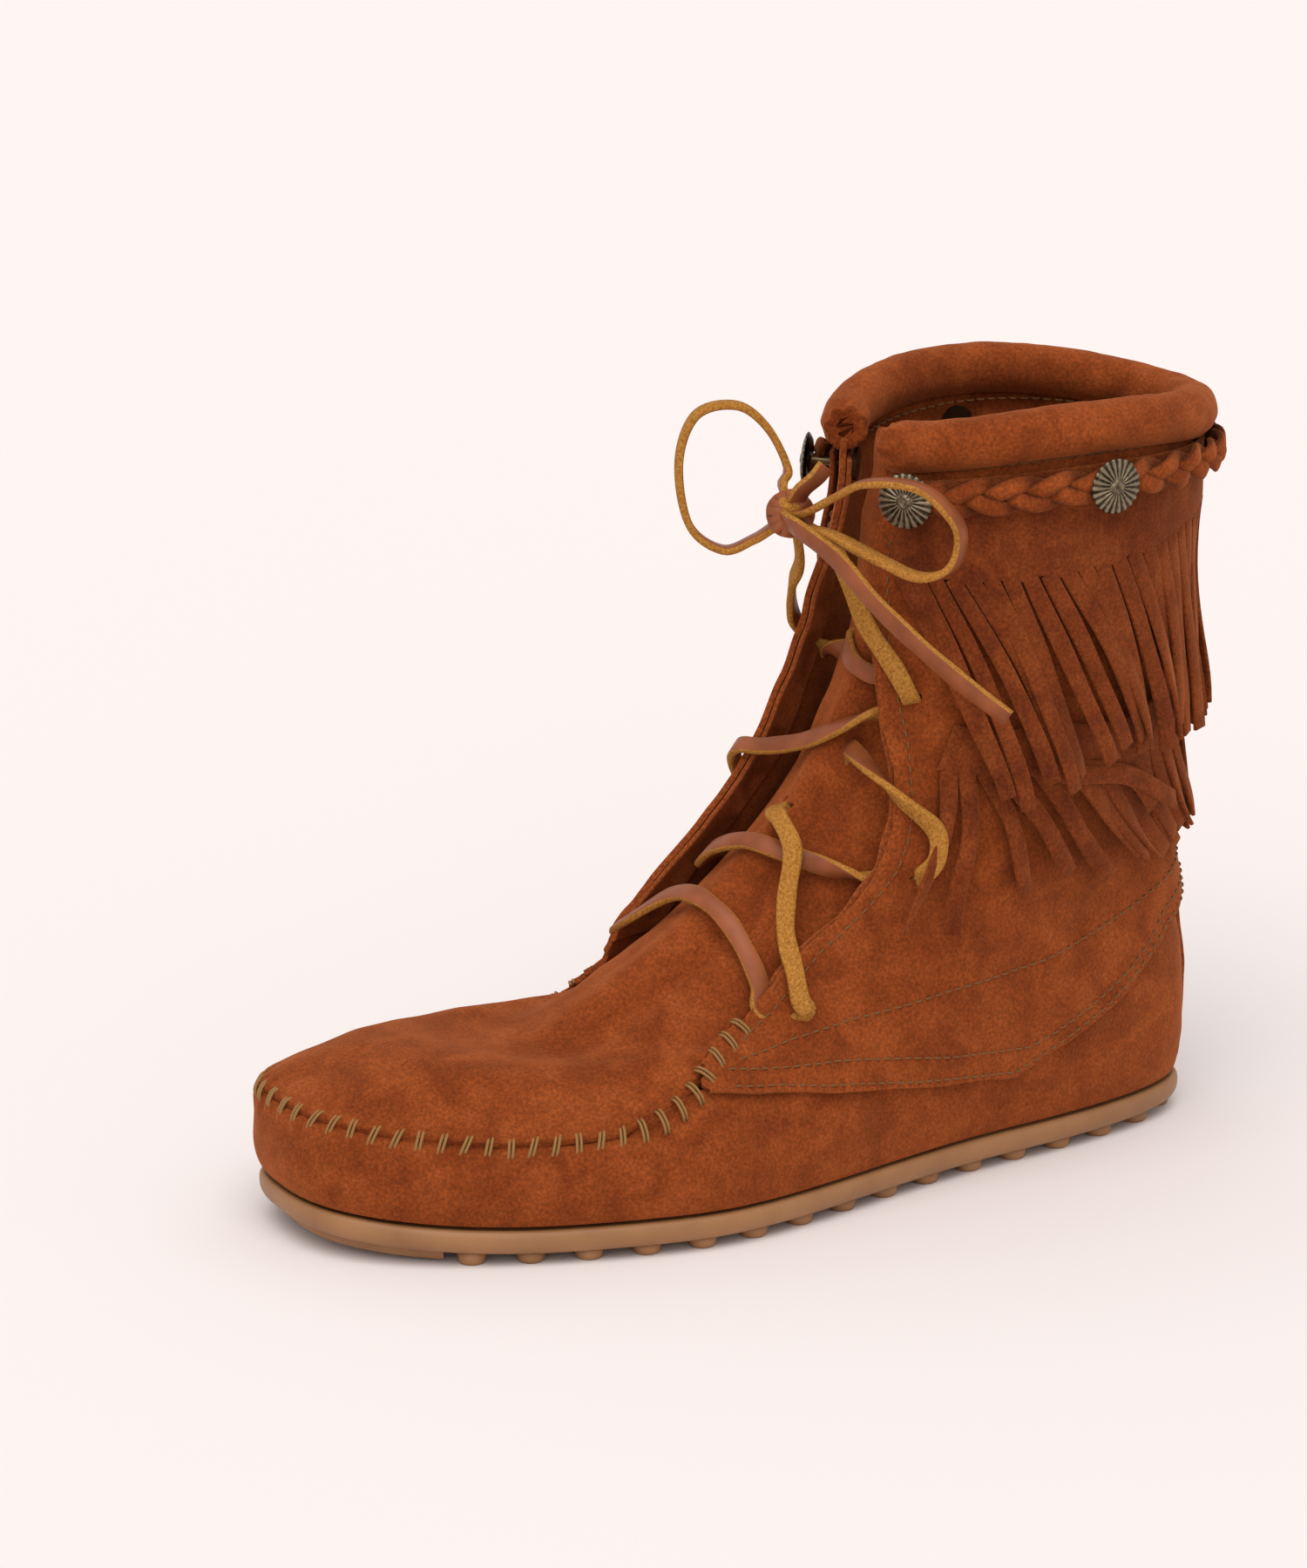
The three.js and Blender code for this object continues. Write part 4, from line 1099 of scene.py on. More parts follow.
# ---------------------------------------------------------------- fringe
@dataclass
class FringeTier:
    """One tier of fringe: a header sewn round the shaft, and strips cut below it that hang and swing."""

    name: str
    start: float
    top: Knots
    slit: Knots
    tip: Knots
    lean: float
    hang: float
    strips: int
    seed: int
    stray: tuple[int, ...] = ()
    gap: float = 1.3
    leather: float = 1.3
    slit_width: float = 0.4
    front_hang: float = 0.0
    bend: float = 9.0  # length over which a raised strip bends
    uncut: float = 1.02  # the panel before cutting is this much wider than its strips together
    zones: tuple[tuple[str, float, float], ...] = (
        ("lateral_front", 0, 0.2), ("lateral_rear", 0.2, 0.41), ("back", 0.41, 0.59),
        ("medial_rear", 0.59, 0.8), ("medial_front", 0.8, 1),
    )

    def inner(self, angle: Array, level: Array) -> Array:
        """Distance of the fringe's inner face from the skin."""
        return quarter_outer(angle, level) + self.gap

    def header(self, suede: Material) -> Object:
        """Makes the header, which lies over the quarters under the collar or round the ankle."""

        def spot(u: Array, v: Array) -> tuple[Array, Array]:
            """Round from one front end to the other."""
            angle = mix(self.start, 360 - self.start, u)
            side = np.minimum(angle, 360 - angle)
            uneven = 0.02 * np.sin(u * 130) * (1 - v)
            return angle, mix(along(self.slit, side) + uneven, along(self.top, side), v)

        def out(angle: Array, level: Array) -> Array:
            """Its outer face."""
            return self.inner(angle, level) + self.leather

        def raw(u: Array, v: Array) -> Array:
            """Raw at its two cut ends."""
            return np.exp(-((np.minimum(u, 1 - u) / 0.008) ** 2))

        return leaf(f"{self.name}_fringe_header", 330, 26, spot, out, self.leather, suede, raw)

    def strip(self, bm: Mesh, number: int, rng: np.random.Generator) -> tuple[float, float]:
        """Makes one strip: it leaves the header, leans back as it hangs, and curls a little.

        Returns:
            Its mean width and its length in mm.
        """
        pitch = (360 - 2 * self.start) / self.strips
        angle = self.start + (number + 0.5) * pitch
        from_toe = min(angle, 360 - angle)
        back = np.clip((from_toe - self.start) / (180 - self.start), 0, 1) ** 1.5
        wobble, longer, swing, curl = rng.normal(0, 1, 4)
        fan = self.lean * (1 - back) * (1 - self.front_hang * ease(1 - (from_toe - self.start) / 26))
        to = from_toe + fan + 1.6 * wobble
        tip = float(along(self.tip, to)) + 0.10 * longer
        hang = self.hang * (1 + 0.28 * swing)
        if number in self.stray:
            to, tip, hang = to + 15, tip + 0.55, hang + 3.0
        t = np.linspace(0, 1, 16)
        slit = float(along(self.slit, from_toe)) + 0.03
        at = mix(from_toe, to, t) + 0.9 * wobble * np.sin(t * math.pi)
        turned = at if angle <= 180 else 360 - at
        level = self.even_drop((from_toe, slit), (to, tip), len(t))
        stand = hang * ease(t * 0.9) * (0.9 + 0.1 * np.cos(t * 5 + swing))
        over = 1.3 * (number % 2) * ease(t * 1.6) * ease((from_toe - self.start) / 8)
        out = self.inner(turned, level) + self.leather / 2 + stand + over
        centre = SKIN.off(turned, level, out)
        dent = SKIN.worn(turned[:1], level[:1], out[:1])[0] - centre[0]
        centre = centre + dent * (1 - t[:, None])
        normal = SKIN.normal(turned, level)
        left, right = SKIN.off(turned[0] + np.array([-0.5, 0.5]) * pitch, slit, out[0])
        run = tangents(centre)
        across = unit(np.cross(run[0], normal[0]))
        full = abs(float(np.dot(right - left, across)))
        spread = mix(full, float(np.linalg.norm(right - left)) * 0.98, ease(t * 2.5))
        width = (spread - self.slit_width * (1 - t)) * (1 - 0.05 * t + 0.04 * np.sin(t * 9 + wobble))
        twist = (0.55 * curl * t**1.6)[:, None]
        up = normal * np.cos(twist) + np.cross(run, normal) * np.sin(twist)
        strand(bm, centre, up, width, self.leather * (1 - 0.12 * t), marks={"raw_edge": BAND_EDGE})
        return float(width.mean()), run_length(centre)

    @staticmethod
    def even_drop(top: tuple[float, float], tip: tuple[float, float], steps: int) -> Array:
        """Levels between two (angle, level) places that lie evenly in height."""
        ladder = np.linspace(tip[1] - 0.2, top[1] + 0.2, 60)
        heights = SKIN.point(mix(tip[0], top[0], (ladder - tip[1]) / (top[1] - tip[1])), ladder)[:, 2]
        high, low = np.interp((top[1], tip[1]), ladder, heights)
        return np.interp(np.linspace(high, low, steps), heights, ladder)

    def bend_line(self, first: int, last: int) -> tuple[Array, Array]:
        """Where the strips from first to last start to bend, and which way is down.

        The line lies just under the header's edge, which slants.
        """
        angle = self.start + np.linspace(first, last, 12) * (360 - 2 * self.start) / self.strips
        level = along(self.slit, np.minimum(angle, 360 - angle))
        edge = SKIN.point(angle, level)
        down = unit(np.cross(SKIN.normal(angle, level).mean(axis=0), edge[-1] - edge[0]))
        down = -down * np.sign(down[2])
        middle = edge.mean(axis=0)
        return middle + down * (float(((edge - middle) @ down).max()) + 0.5), down

    def panels(self, suede: Material, header: Object) -> None:
        """Makes each zone as one hanging sheet, cut in strips, that bends away from the header."""
        rng = np.random.default_rng(self.seed)
        for zone, low, high in self.zones:
            bm = new_mesh()
            first, last = round(low * self.strips), round(high * self.strips)
            cut = np.array([self.strip(bm, number, rng) for number in range(first, last)]) * MM
            body = f"{self.name}_fringe_{zone}"
            panel = finish_piece(bm, f"{body}_strips", suede, None, [body])
            soften(panel, 0.2, 1, 50)
            top, down = self.bend_line(first, last)
            end = top + down * self.bend
            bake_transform(panel, "root", body, start=Vector(top * MM), end=Vector(end * MM))


TIERS = (
    FringeTier(
        "upper",
        start=26,
        top=((0, 9.71), (180, 9.71)),
        slit=((0, 8.84), (180, 8.84)),
        tip=((60, 7.2), (110, 7.1), (180, 5.75)),
        lean=43,
        hang=5.4,
        strips=52,
        seed=11,
    ),
    FringeTier(
        "lower",
        start=56,
        top=((44, 7.72), (90, 7.55), (140, 6.95), (180, 6.7)),
        slit=((44, 7.4), (90, 7.2), (140, 6.6), (180, 6.35)),
        tip=((90, 5.75), (110, 5.5), (134, 4.75), (150, 4.5), (180, 4.3)),
        lean=46,
        hang=2.6,
        strips=46,
        seed=23,
        stray=(4, 6),
        front_hang=0.6,
    ),
)


# ---------------------------------------------------------------- braid and conchos
BRAID_LEVEL = 9.56
HEADER_OUT = 2.2 + 1.3 + 1.3  # the upper header's face: quarter, gap and fringe leather above the skin
CUSHION = [(-0.5, 0.1), (-0.42, 0.36), (-0.2, 0.5), (0.2, 0.5), (0.42, 0.36), (0.5, 0.1), (0.42, -0.3),
           (0, -0.4), (-0.42, -0.3)]
# painted shade on each corner of the soft thong, darkest on its underside and sides
CUSHION_PAINTED_SHADE = (0.9, 0.35, 0, 0, 0.35, 0.9, 1, 1, 1)  # how dark each corner of the soft thong lies


@dataclass
class Braid:
    """A flat plait of three suede thongs under the collar."""

    start: float = 31.6
    turns: int = 8
    half_width: float = 2.75
    depth: float = 1.35
    thong: float = 4.5
    thickness: float = 1.9
    base: float = HEADER_OUT + 3.7

    def make(self, suede: Material) -> None:
        """Plaits the three thongs from the front concho round the back to the other."""
        steps = self.turns * 30
        t = np.linspace(0, 1, steps + 1)
        angle = mix(self.start, 360 - self.start, t)
        level = np.full(angle.shape, BRAID_LEVEL)
        out = SKIN.normal(angle, level)
        around = unit(SKIN.point(angle + 0.5, level) - SKIN.point(angle - 0.5, level))
        climb = unit(np.cross(out, around))
        for number in (1, 2, 3):
            turn = 2 * math.pi * (t * self.turns + number / 3)
            rise = self.half_width * np.sin(turn) + 0.25 * np.sin(t * 77 + number)
            proud = self.depth * np.sin(2 * turn)
            centre = SKIN.worn(angle, level, self.base + proud) + climb * rise[:, None]
            bm = new_mesh()
            width = self.thong * (1 + 0.05 * np.sin(t * 131 + number))
            # painted shade, kept in the crease mark: darker where the thong dips under its neighbours, and
            # on its underside
            shade_under_crossing = np.clip(0.35 - np.sin(2 * turn), 0, 1)[:, None] * 0.75
            crease = np.maximum(shade_under_crossing, np.array(CUSHION_PAINTED_SHADE))
            roll = out + climb * (0.28 * np.sin(turn))[:, None]
            strand(bm, centre, roll, width, self.thickness, CUSHION, {"crease": crease})
            strand_name = f"braid_strand_{number}"
            finish_piece(bm, f"braid_thong_{number}", suede, "root", [strand_name])


@dataclass
class Concho:
    """A domed, fluted disc struck from brass, with a plain raised boss."""

    name: str
    angle: float
    radius: float = 7.2
    height: float = 1.9
    flutes: int = 22
    boss: float = 2.0
    doming: float = 0.93  # share of a full dome that the face makes
    face_share: float = 0.82  # share of the rings that lie on the face, the others on the back
    base: float = HEADER_OUT + 5.7

    def make(self, brass: Material) -> None:
        """Makes the disc as a dome of rings, its rim scalloped by the flutes."""
        normal = SKIN.normal(self.angle, BRAID_LEVEL)[0]
        centre = SKIN.worn(self.angle, BRAID_LEVEL, self.base)[0]
        side = unit(np.cross(UP, normal))
        up = np.cross(normal, side)
        rim = self.height * math.sqrt(1 - self.doming**2)

        def fluting(u: Array, v: Array) -> tuple[Array, Array, Array]:
            """How far out on the face, the flutes' wave from 0 to 1, and how far they have begun."""
            face = np.clip(u / self.face_share, 0, 1)
            return face, 0.5 + 0.5 * np.cos(v * 2 * math.pi * self.flutes), ease((face - 0.24) / 0.14)

        def place(u: Array, v: Array) -> Array:
            """Rings from the middle of the face, round the rim, to the back."""
            turn = v * 2 * math.pi
            face, flute, begun = fluting(u, v)
            boss = face * self.radius / (self.boss * (0.78 + 0.22 * np.abs(np.cos(2 * turn))))
            r = self.radius * face * (1 + 0.035 * flute * ease((face - 0.7) / 0.3))
            h = self.height * np.sqrt(1 - (face * self.doming) ** 2) + 0.42 * flute * begun
            h += 0.75 * (1 - ease((boss - 0.75) / 0.3)) - 0.45 * (1 - ease((2 * boss - 0.75) / 0.4))
            under = np.clip((u - self.face_share) / (1 - self.face_share), 0, 1)
            r = np.where(under > 0, self.radius * (1.0 - 0.5 * under), r)
            h = np.where(under > 0, mix(rim, 0.0, ease(under * 2.5)), h)
            flat = np.outer(r * np.cos(turn), side) + np.outer(r * np.sin(turn), up)
            return centre + flat + np.outer(h, normal)

        def worn(u: Array, v: Array) -> Array:
            """How bright the crests and the boss are rubbed; the back stays dark."""
            _, flute, begun = fluting(u, v)
            return np.where(u > self.face_share, 0.0, 0.25 + 0.75 * flute * begun + 0.4 * (1 - begun))

        bm = bmesh.new()
        grid(bm, 26, self.flutes * 6, place, closed=True, marks={"crest": worn})
        close_up(bm)
        name = f"concho_{self.name}"
        finish_piece(bm, f"fluted_{name}", brass, "root", [name])


CONCHOS = (Concho("lateral_front", 31.6), Concho("lateral_rear", 91.5), Concho("medial_rear", 268.5),
           Concho("medial_front", 328.4))


# ---------------------------------------------------------------- lace
@dataclass
class Lacing:
    """The thong that closes the front, its bow, and its two hanging ends."""

    width: float = 4.9
    thickness: float = 2.0
    knot: tuple[float, float, float] = (1, 12, 178)
    knot_radii: tuple[float, float, float] = (3.9, 5.0, 5.2)
    # angle, level, distance out, turn of the grain face about the thong's own line in degrees
    lateral_run: Knots = (
        (0, 0, 0, 150), (6, 8.95, 9.5, 165), (20, 8.4, 9, 180), (33, 8.05, 8.5, 180),
        (39.5, 7.86, 6.2, 180), (40, 7.8, 1.5, 180), (35, 7.72, -1.2, 180), (26, 7.65, 0, 90),
        (12, 7.5, -1.6, 30), (-6, 7.35, -1, 0), (-19, 7.2, 5, 0), (-26, 7.1, 10.4, 0),
        (-36, 6.95, 10.2, 0), (-50, 6.75, 6.8, 0), (-62, 6.55, 5, 0), (-66, 6.45, 1.5, 0),
        (-60, 6.4, -1, 0), (-45, 6.4, 0, 0), (-30, 6.45, 0.6, 0), (-10, 6.62, 1, 0), (8, 6.72, 1, 0),
        (28, 6.7, 0.6, 0), (48, 6.6, 0, 60), (62, 6.48, -0.8, 150), (70, 6.42, 0.8, 180),
        (71.5, 6.46, 4.6, 180), (70.5, 6.62, 6.8, 175), (64, 6.88, 7.4, 150), (50, 7.12, 7.6, 115),
        (37, 7.3, 4, 60), (27, 7.4, -1.4, 20), (21, 7.42, -5, 0), (16, 7.3, -8.6, 0),
        (8, 7.12, -8.8, 60), (4, 7, -5.6, 140), (8, 6.92, 0.4, 180), (18, 6.86, 4.8, 180),
        (30, 6.7, 5.4, 180), (39, 6.42, 1.8, 180), (49, 6.1, 1.4, 180), (60, 5.6, 6, 180),
        (69, 5, 5.6, 180), (74, 4.66, 4.6, 180), (74.5, 4.52, 1, 180), (69, 4.66, -1, 120),
        (61, 5.08, 0.8, 40), (55, 5.5, 1.8, 10), (42, 5.98, 2, 0), (26, 6.26, 2, 0), (8, 6.36, 2, 0),
        (-10, 6.3, 2, 0), (-30, 5.95, 3, 0), (-48, 5.45, 6, 0), (-62, 4.95, 6, 0), (-70, 4.66, 3.4, 0),
        (-71, 4.6, 0, 0),
    )
    medial_run: Knots = (
        (0, 0, 0, 180), (-10, 8.8, 12, 180), (-20, 8.5, 11.5, 180), (-28, 8.25, 11.5, 180),
        (-35, 8.05, 10, 180), (-38, 7.95, 6, 160), (-36, 7.9, 0, 120), (-28, 7.95, -3, 60),
        (-18, 8.05, -7.4, 20), (-9, 8.14, -7.6, 0), (-4, 8.12, -3.4, 0), (5, 8.02, -1.4, 0),
        (14, 7.96, -1.4, 0), (23, 7.95, -2.8, 0), (32, 8.08, -3, 0),
    )
    long_end: Knots = (
        (3, 9.6, 177.6), (7, 8.5, 177.4), (13, 8.6, 176.6), (24, 13, 171), (36, 19, 160), (51, 29, 147),
        (63, 41, 135),
    )
    short_end: Knots = ((3, 12.5, 182), (6, 13, 185.6), (7.5, 16, 188.5), (8, 18.5, 191.5))
    medial_bow: Knots = (
        (-0.5, 12, 181), (-4.6, 13, 184.6), (-7, 15.5, 188.5), (-9, 10.6, 199), (-12, 3.3, 205),
        (-15, -7, 203), (-16, -11.5, 190.7), (-15, -9, 174), (-12, -0.7, 167), (-9, 6.5, 169.5),
        (-4.8, 9.5, 173), (-0.8, 11.5, 176),
    )
    lateral_bow: Knots = (
        (2.5, 12.5, 178.5), (8, 13.5, 180), (16, 17, 185.3), (27, 20, 191), (38, 29, 191),
        (44, 35.7, 183.6), (44, 37.7, 176.6), (43, 35.2, 170.3), (40, 27.9, 168.3), (30, 22.4, 171),
        (18, 15, 175.6), (8.5, 11.5, 176), (2.5, 11.5, 177),
    )

    def ribbon(self, name: str, centres: Array, out: Array, leather: Material, node_name: str,
               body: str = "root", width: float | None = None) -> Object:
        """Makes a length of thong whose smooth grain looks along out.

        Args:
            name: The piece's name.
            centres: Its line in mm.
            out: Where its grain looks at each place.
            leather: Its finish.
            node_name: The CAD node that it replaces.
            body: The body that it rides on.
            width: Its width, where it isn't the thong's own.
        Returns:
            The piece.
        """
        bm = new_mesh()
        wavy = 1 + 0.04 * np.sin(np.arange(len(centres)) * 0.37)
        wide = (width or self.width) * wavy
        strand(bm, centres, out, wide, self.thickness, marks={"grain": BAND_GRAIN})
        return finish_piece(bm, name, leather, body, [node_name])

    def threaded(self, name: str, start: Sequence[float], route: Sequence[Sequence[float]], count: int,
                 leather: Material, node_name: str) -> None:
        """Makes a length that is threaded through the shaft, given on the skin, and starts in the knot."""
        table = np.array(route, float)
        corners = SKIN.worn(table[:, 0], table[:, 1], table[:, 2])
        table[0, :3] = table[1, :3]
        corners[0] = start
        rows = spline(np.column_stack([corners, table]), count)
        centres = rows[:, :3]
        normal = SKIN.normal(rows[:, 3], rows[:, 4])
        run = tangents(centres)
        up = np.zeros_like(centres)
        up[0] = unit(normal[0] - run[0] * np.dot(normal[0], run[0]))
        for k in range(1, count):
            held = up[k - 1] - run[k] * np.dot(up[k - 1], run[k])
            wish = normal[k] - run[k] * np.dot(normal[k], run[k])
            if np.dot(held, wish) < 0:
                wish = wish + held * 0.5
            up[k] = unit(held + 0.45 * np.linalg.norm(wish) * wish)
        turn = np.radians(rows[:, 6])[:, None]
        up = up * np.cos(turn) + np.cross(run, up) * np.sin(turn)
        self.ribbon(name, centres, up, leather, node_name)

    def free(self, name: str, points: Sequence[Sequence[float]], out: Array, leather: Material,
             node_name: str, far_end: str, count: int) -> None:
        centres = spline(points, count)
        piece = self.ribbon(name, centres, np.broadcast_to(out, (count, 3)), leather, node_name)

    def loop_grain(self, points: Sequence[Sequence[float]], inward: bool, count: int = 90) -> Array:
        """Where the grain looks round a loop: away from its middle, or towards it."""
        centres = spline(points, count)
        away = centres - centres.mean(axis=0)
        plane = unit(np.linalg.svd(away)[2][2])
        flat = np.cross(tangents(centres), plane)
        flat *= np.sign(np.sum(flat * away, axis=1)).sum() / count
        flat = unit(flat)
        return -flat if inward else flat

    def wrap(self, leather: Material) -> None:
        """Makes the knot: the thong wound once round itself, its grain gathered towards the middle."""
        middle = np.array(self.knot, float)
        face = unit(np.array([0.86, -0.42, 0.28]))
        side = unit(np.cross(UP, face))
        up = np.cross(face, side)
        t = np.linspace(-0.15, 2 * math.pi * 1.02, 90)
        circle = np.outer(np.cos(t), side) + np.outer(np.sin(t), up)
        lift = np.linspace(-0.6, 0.6, 90)[:, None]
        centres = middle + circle * 4.1 + face * (2.2 + lift) + face * 0.25 * np.sin(t * 13)[:, None]
        self.ribbon("bow_knot_wrap", centres, face + circle * 0.55, leather, "bow_knot", width=4.6)
        bm = bmesh.new()
        for vert in bmesh.ops.create_icosphere(bm, subdivisions=4, radius=1.0)["verts"]:
            way = np.array(vert.co)
            crease = 1 + 0.10 * math.sin(way[2] * 9 + way[0] * 4)
            vert.co = Vector((middle + way * self.knot_radii * crease) * MM)
        finish_piece(bm, "bow_knot_heart", leather, "root", ["bow_knot"])

    def make(self, leather: Material) -> None:
        """Makes the whole lace."""
        for name, start, route, count, node_name in (
            ("lace_through_shaft", (2.5, 14, 175), self.lateral_run, 620, "lace_lateral_run"),
            ("lace_through_medial_flap", (-1.5, 14, 179), self.medial_run, 170, "lace_medial_run"),
        ):
            self.threaded(name, start, route, count, leather, node_name)
        inside = self.loop_grain(self.medial_bow, True)
        outside = self.loop_grain(self.lateral_bow, False)
        for node_name, points, out, far_end, count in (
            ("lace_long_end", self.long_end, (0.62, -0.75, -0.25), "bare", 70),
            ("lace_short_end", self.short_end, (0.9, -0.1, -0.4), "", 24),
            ("bow_loop_medial", self.medial_bow, inside, "object", 90),
            ("bow_loop_lateral", self.lateral_bow, outside, "object", 90),
        ):
            self.free(f"{node_name}_thong", points, out, leather, node_name, far_end, count)
        self.wrap(leather)


# ---------------------------------------------------------------- sole
@dataclass
class Sole:
    """The gum-rubber unit, with a rounded side wall, a toe block and nubs, and its lined footbed."""

    tread: float = 2.5
    upper: float = 1.6  # thickness of the leather between the rubber and the footbed
    nub_radius: float = 4.0
    nub_pitch: float = 15.0
    rim_inset: float = 0.3
    block_length: float = 30.0
    block_inset: float = 3.2
    around: int = 320
    bed_profile: Knots = (
        (-3.4, 0.0), (-3.1, 0.4), (-3.1, 1.4), (-3.4, 2.3), (-4.4, 2.9), (-6.5, 3.0), (-9.0, 3.0),
    )
    profile: Knots = (
        (-4.5, 3.0), (-2.0, 2.9), (-0.8, 3.0), (0.2, 3.3), (0.9, 3.9), (1.4, 4.7), (1.7, 5.6),
        (1.8, 6.6), (1.8, 7.6), (1.65, 8.4), (1.3, 9.0), (0.8, 9.4), (0.2, 9.5), (-0.5, 9.45),
        (-1.5, 9.4), (-4.0, 9.4),
    )

    def ring(self, angle: Array, grow: Array, z: Array) -> Array:
        """Places on the sole's outline, grown sideways, at a height that follows the toe's lift."""
        place = SKIN.ring(np.ones(angle.shape, int), angle)
        place = place + level_out(SKIN.normal(angle, 0.5)) * grow[:, None]
        place[:, 2] = z + SKIN.spring(place[:, 1])
        return place

    def outline(self, count: int, grow: float) -> Array:
        """The sole's outline at the ground, grown sideways, as count places."""
        return self.ring((np.arange(count) + 0.5) * 360 / count, np.full(count, grow), np.zeros(count))

    @property
    def block_end(self) -> float:
        """Where the toe block ends, along Y."""
        return self.block_length - SKIN.sole_length / 2

    @property
    def first_nub(self) -> float:
        """Where the nubs may begin behind the toe block, along Y."""
        return self.block_end + self.nub_radius + 2

    def slab(self, rubber: Material) -> None:
        """Makes the moulded unit: the side wall, both faces, the toe block and the nubs."""
        bm = new_mesh("mould")
        shape = np.array(self.profile)
        angles = self.around

        def place(u: Array, v: Array) -> Array:
            """Round the outline and up the side wall."""
            row = np.rint(u * (len(shape) - 1)).astype(int)
            turn = (v * angles + 0.5) * 360 / angles
            return self.ring(turn, shape[row, 0], shape[row, 1])

        grid(bm, len(shape) - 1, angles, place, closed=True)
        close_up(bm)
        flatten(finish_piece(bm, "rubber_sole_unit", rubber, "root", ["outsole"]), 4)
        self.block(rubber)
        self.nubs(rubber)

    def block(self, rubber: Material) -> None:
        """Makes the flat block under the toe."""
        rim = self.outline(self.around, -self.block_inset)
        rim = rim[rim[:, 1] < self.block_end]
        order = np.argsort(np.arctan2(rim[:, 0] - SKIN.toe_shift, -(rim[:, 1] + 90)))
        bm = bmesh.new()
        face = bm.faces.new([bm.verts.new(Vector(p * MM)) for p in rim[order]])
        raised = bmesh.ops.extrude_face_region(bm, geom=[face])["geom"]
        roof = [part for part in raised if isinstance(part, bmesh.types.BMVert)]
        bmesh.ops.translate(bm, verts=roof, vec=(0, 0, (self.tread + 0.5) * MM))
        bmesh.ops.recalc_face_normals(bm, faces=bm.faces)
        low = {v for v in bm.verts if v.co.z < (SKIN.spring(v.co.y / MM) + 0.5) * MM}
        sharp = [e for e in bm.edges if low.issuperset(e.verts) and e.calc_face_angle(0) > 1.0]
        round_edges(bm, sharp, 0.5)
        flatten(finish_piece(bm, "toe_tread_block", rubber, "root", ["outsole"]), 0)

    def nub(self, bm: Mesh, x: float, y: float) -> None:
        """Adds one round nub that reaches from the ground into the slab."""
        height = self.tread + 0.6 + float(SKIN.spring(np.array(y)))
        place = Matrix.Translation(Vector((x, y, height / 2)) * MM)
        foot, root = (self.nub_radius - 0.5) * MM, self.nub_radius * MM
        made = bmesh.ops.create_cone(bm, cap_ends=True, segments=18, radius1=foot, radius2=root,
                                     depth=height * MM, matrix=place)["verts"]
        rims = {e for v in made for e in v.link_edges if all(w.co.z < 0.2 * MM for w in e.verts)}
        round_edges(bm, list(rims), 0.7)

    def rim_nubs(self, bm: Mesh) -> None:
        """Adds the row of nubs that follows the outline from the block round the heel."""
        line = self.outline(720, -self.nub_radius - self.rim_inset)
        line = line[line[:, 1] > self.first_nub]
        run = distances(line)
        count = int(run[-1] // self.nub_pitch) + 1
        for x, y, _ in sample(line, run, np.linspace(0, run[-1], count)):
            self.nub(bm, float(x), float(y))

    def nubs(self, rubber: Material) -> None:
        """Makes the rows of round nubs inside the sole's outline."""
        rim = self.outline(160, -3 * self.nub_radius - 2.0)
        side, mate = rim[:80], rim[:79:-1]
        bm = bmesh.new()
        rows = int(SKIN.sole_length / 2 // self.nub_pitch)
        for row in range(-rows, rows + 1):
            y = row * self.nub_pitch
            if y < self.first_nub or y > side[:, 1].max() - 1:
                continue
            right, left = np.interp(y, side[:, 1], side[:, 0]), np.interp(y, mate[:, 1], mate[:, 0])
            for column in range(-4, 5):
                x = (column + (0.5 if row % 2 else 0)) * self.nub_pitch
                if left < x < right:
                    self.nub(bm, x, y)
        self.rim_nubs(bm)
        finish_piece(bm, "tread_nubs", rubber, "root", ["outsole"])

    def footbed(self, lining: Material) -> None:
        """Makes the lined footbed with a softly raised rim."""
        bm = new_mesh()
        base = SKIN.sole_top + 2 * SKIN.gap + self.upper
        shape = np.array(self.bed_profile)

        def place(u: Array, v: Array) -> Array:
            """Round the outline and over the rim."""
            row = np.rint(u * (len(shape) - 1)).astype(int)
            return self.ring((v * 200 + 0.5) * 360 / 200, shape[row, 0], base + shape[row, 1])

        grid(bm, len(shape) - 1, 200, place, closed=True)
        close_up(bm)
        flatten(finish_piece(bm, "lined_footbed", lining, "root", ["footbed"]), 4)

    def make(self, rubber: Material, lining: Material) -> None:
        """Makes the sole and the footbed."""
        self.slab(rubber)
        self.footbed(lining)


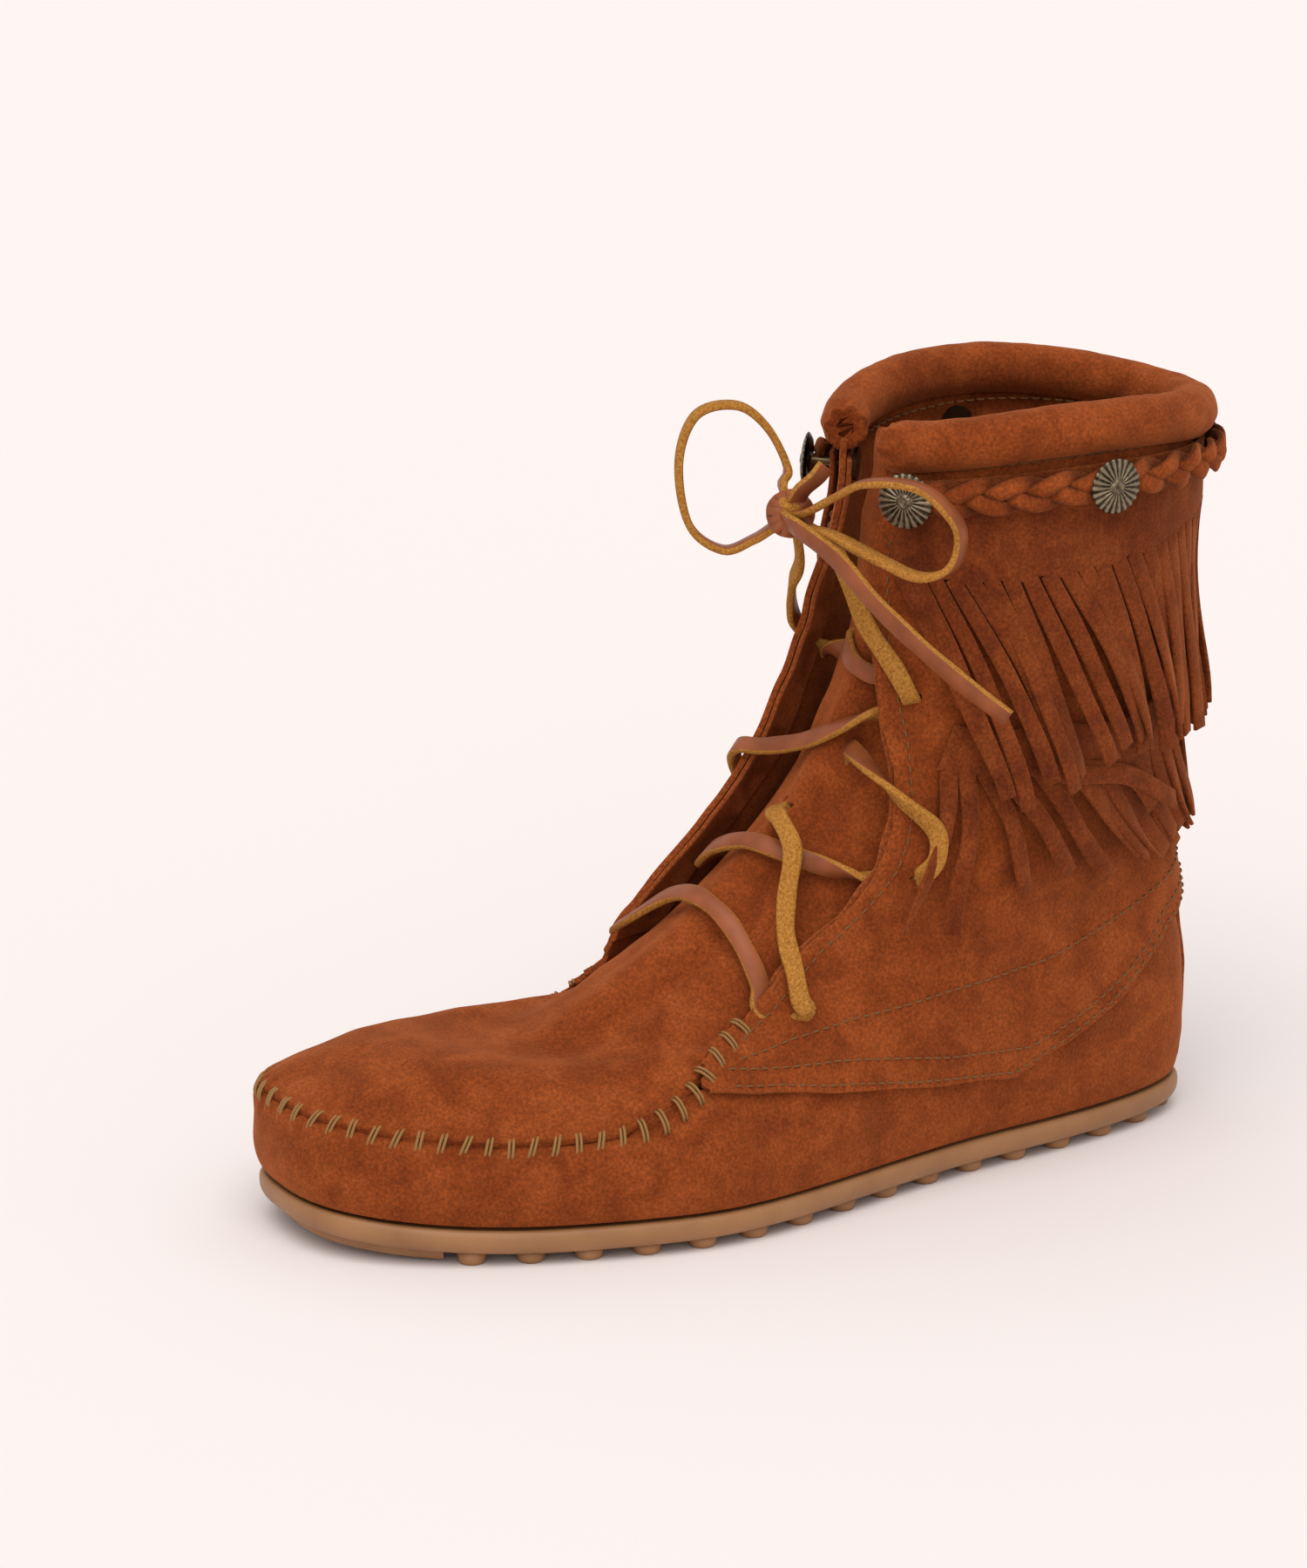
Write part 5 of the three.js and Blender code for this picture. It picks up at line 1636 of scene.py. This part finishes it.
# ---------------------------------------------------------------- studio
@dataclass
class Studio:
    """A plain pale floor under broad soft light, and the camera."""

    azimuth: float = 62.0
    elevation: float = 17.0
    distance: float = 1600.0
    focal_share: float = 3.91  # focal length over the height of the sensor
    sensor: float = 36.0
    aside: float = -24.2
    aim_height: float = 106.5

    def camera(self) -> None:
        """Stands the camera three-quarters round from the toe, a little above."""
        a, e = math.radians(self.azimuth), math.radians(self.elevation)
        right = Vector((math.cos(a), math.sin(a), 0))
        back = Vector((math.sin(a) * math.cos(e), -math.cos(a) * math.cos(e), math.sin(e)))
        data = bpy.data.cameras.new("camera")
        data.sensor_width = self.sensor
        data.lens = self.focal_share * self.sensor
        data.clip_end = 50
        eye = bpy.data.objects.new("camera", data)
        place = right * self.aside + Vector((0, 0, self.aim_height)) + back * self.distance
        look = back.to_track_quat("Z", "Y").to_matrix().to_4x4()
        eye.matrix_world = Matrix.Translation(place * MM) @ look
        bpy.context.scene.collection.objects.link(eye)
        bpy.context.scene.camera = eye

    def floor(self) -> None:
        """Lays a broad pale floor."""
        made, _, shader = start_material("matt_paper_floor")
        shader.inputs["Base Color"].default_value = linear("ebe5e3")
        shader.inputs["Roughness"].default_value = 0.95
        shader.inputs["Specular IOR Level"].default_value = 0.0
        bm = bmesh.new()
        bmesh.ops.create_grid(bm, x_segments=1, y_segments=1, size=20)
        mesh = bpy.data.meshes.new("floor")
        bm.to_mesh(mesh)
        bm.free()
        mesh.materials.append(made)
        floor = bpy.data.objects.new("floor", mesh)
        bpy.context.scene.collection.objects.link(floor)

    def light(self) -> None:
        """Sets even light all round, a broad soft key from the upper left and a low fill."""
        world = bpy.data.worlds.new("studio")
        bpy.context.scene.world = world
        world.use_nodes = True
        sky = world.node_tree.nodes["Background"]
        sky.inputs[0].default_value = (1.0, 0.97, 0.965, 1)
        sky.inputs[1].default_value = 0.72
        suns = (("key", (-0.35, 0.25, -0.9), 1.5, 50), ("front", (-0.75, 0.6, -0.3), 0.5, 70))
        for name, toward, strength, spread in suns:
            data = bpy.data.lights.new(name, "SUN")
            data.energy = strength
            data.angle = math.radians(spread)
            data.color = (1.0, 0.98, 0.96)
            lamp = bpy.data.objects.new(name, data)
            lamp.matrix_world = (-Vector(toward)).to_track_quat("Z", "Y").to_matrix().to_4x4()
            bpy.context.scene.collection.objects.link(lamp)

    def make(self) -> None:
        """Sets up the studio."""
        bpy.context.scene.view_settings.view_transform = "Standard"
        self.camera()
        self.floor()
        self.light()


def dress_hidden() -> None:
    """Gives the CAD nodes that stay in view their finish."""
    brass = AntiqueBrass("antiqued_brass_rivet", patina="5b4d37").make()
    for name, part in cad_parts.items():
        if name.startswith("concho_rivet"):
            part.data.materials.clear()
            part.data.materials.append(brass)


def main() -> None:
    """Builds the moccasin's pieces in order, then the studio."""
    logging.basicConfig(level=logging.INFO, format="%(name)s: %(message)s")
    Studio().make()
    suede = Suede("split_cowhide_suede").make()
    trim = Suede("split_cowhide_suede_trim", shade="71300f", body="8a3f18", bloom="a85527").make()
    # a darker copy of the suede for the fringe headers and strips: painted shade for where they hang under
    # the collar and their nap looks darker
    fringe = Suede("split_cowhide_suede_painted_shade", shade="713012", body="823a16", bloom="92461d").make()
    lace = LaceLeather().make()
    Lacing().make(lace)
    Sole().make(GumRubber().make(), Lining().make())
    foot = FootPart()
    foot.vamp(suede)
    foot.plug(suede)
    foot.back_stay(trim)
    for flap in (LATERAL, MEDIAL):
        flap.make(suede, trim)
    for tier in TIERS:
        tier.panels(fringe, tier.header(fringe))
    Collar().make(suede)
    Braid().make(suede)
    brass = AntiqueBrass().make()
    for concho in CONCHOS:
        concho.make(brass)
    SEAM.stitches(Thread("doubled_seam_thread").make())
    Stitching().make(Thread("lockstitch_thread", "8c5f2c", "55350f").make())
    dress_hidden()


if __name__ == "__main__":
    main()
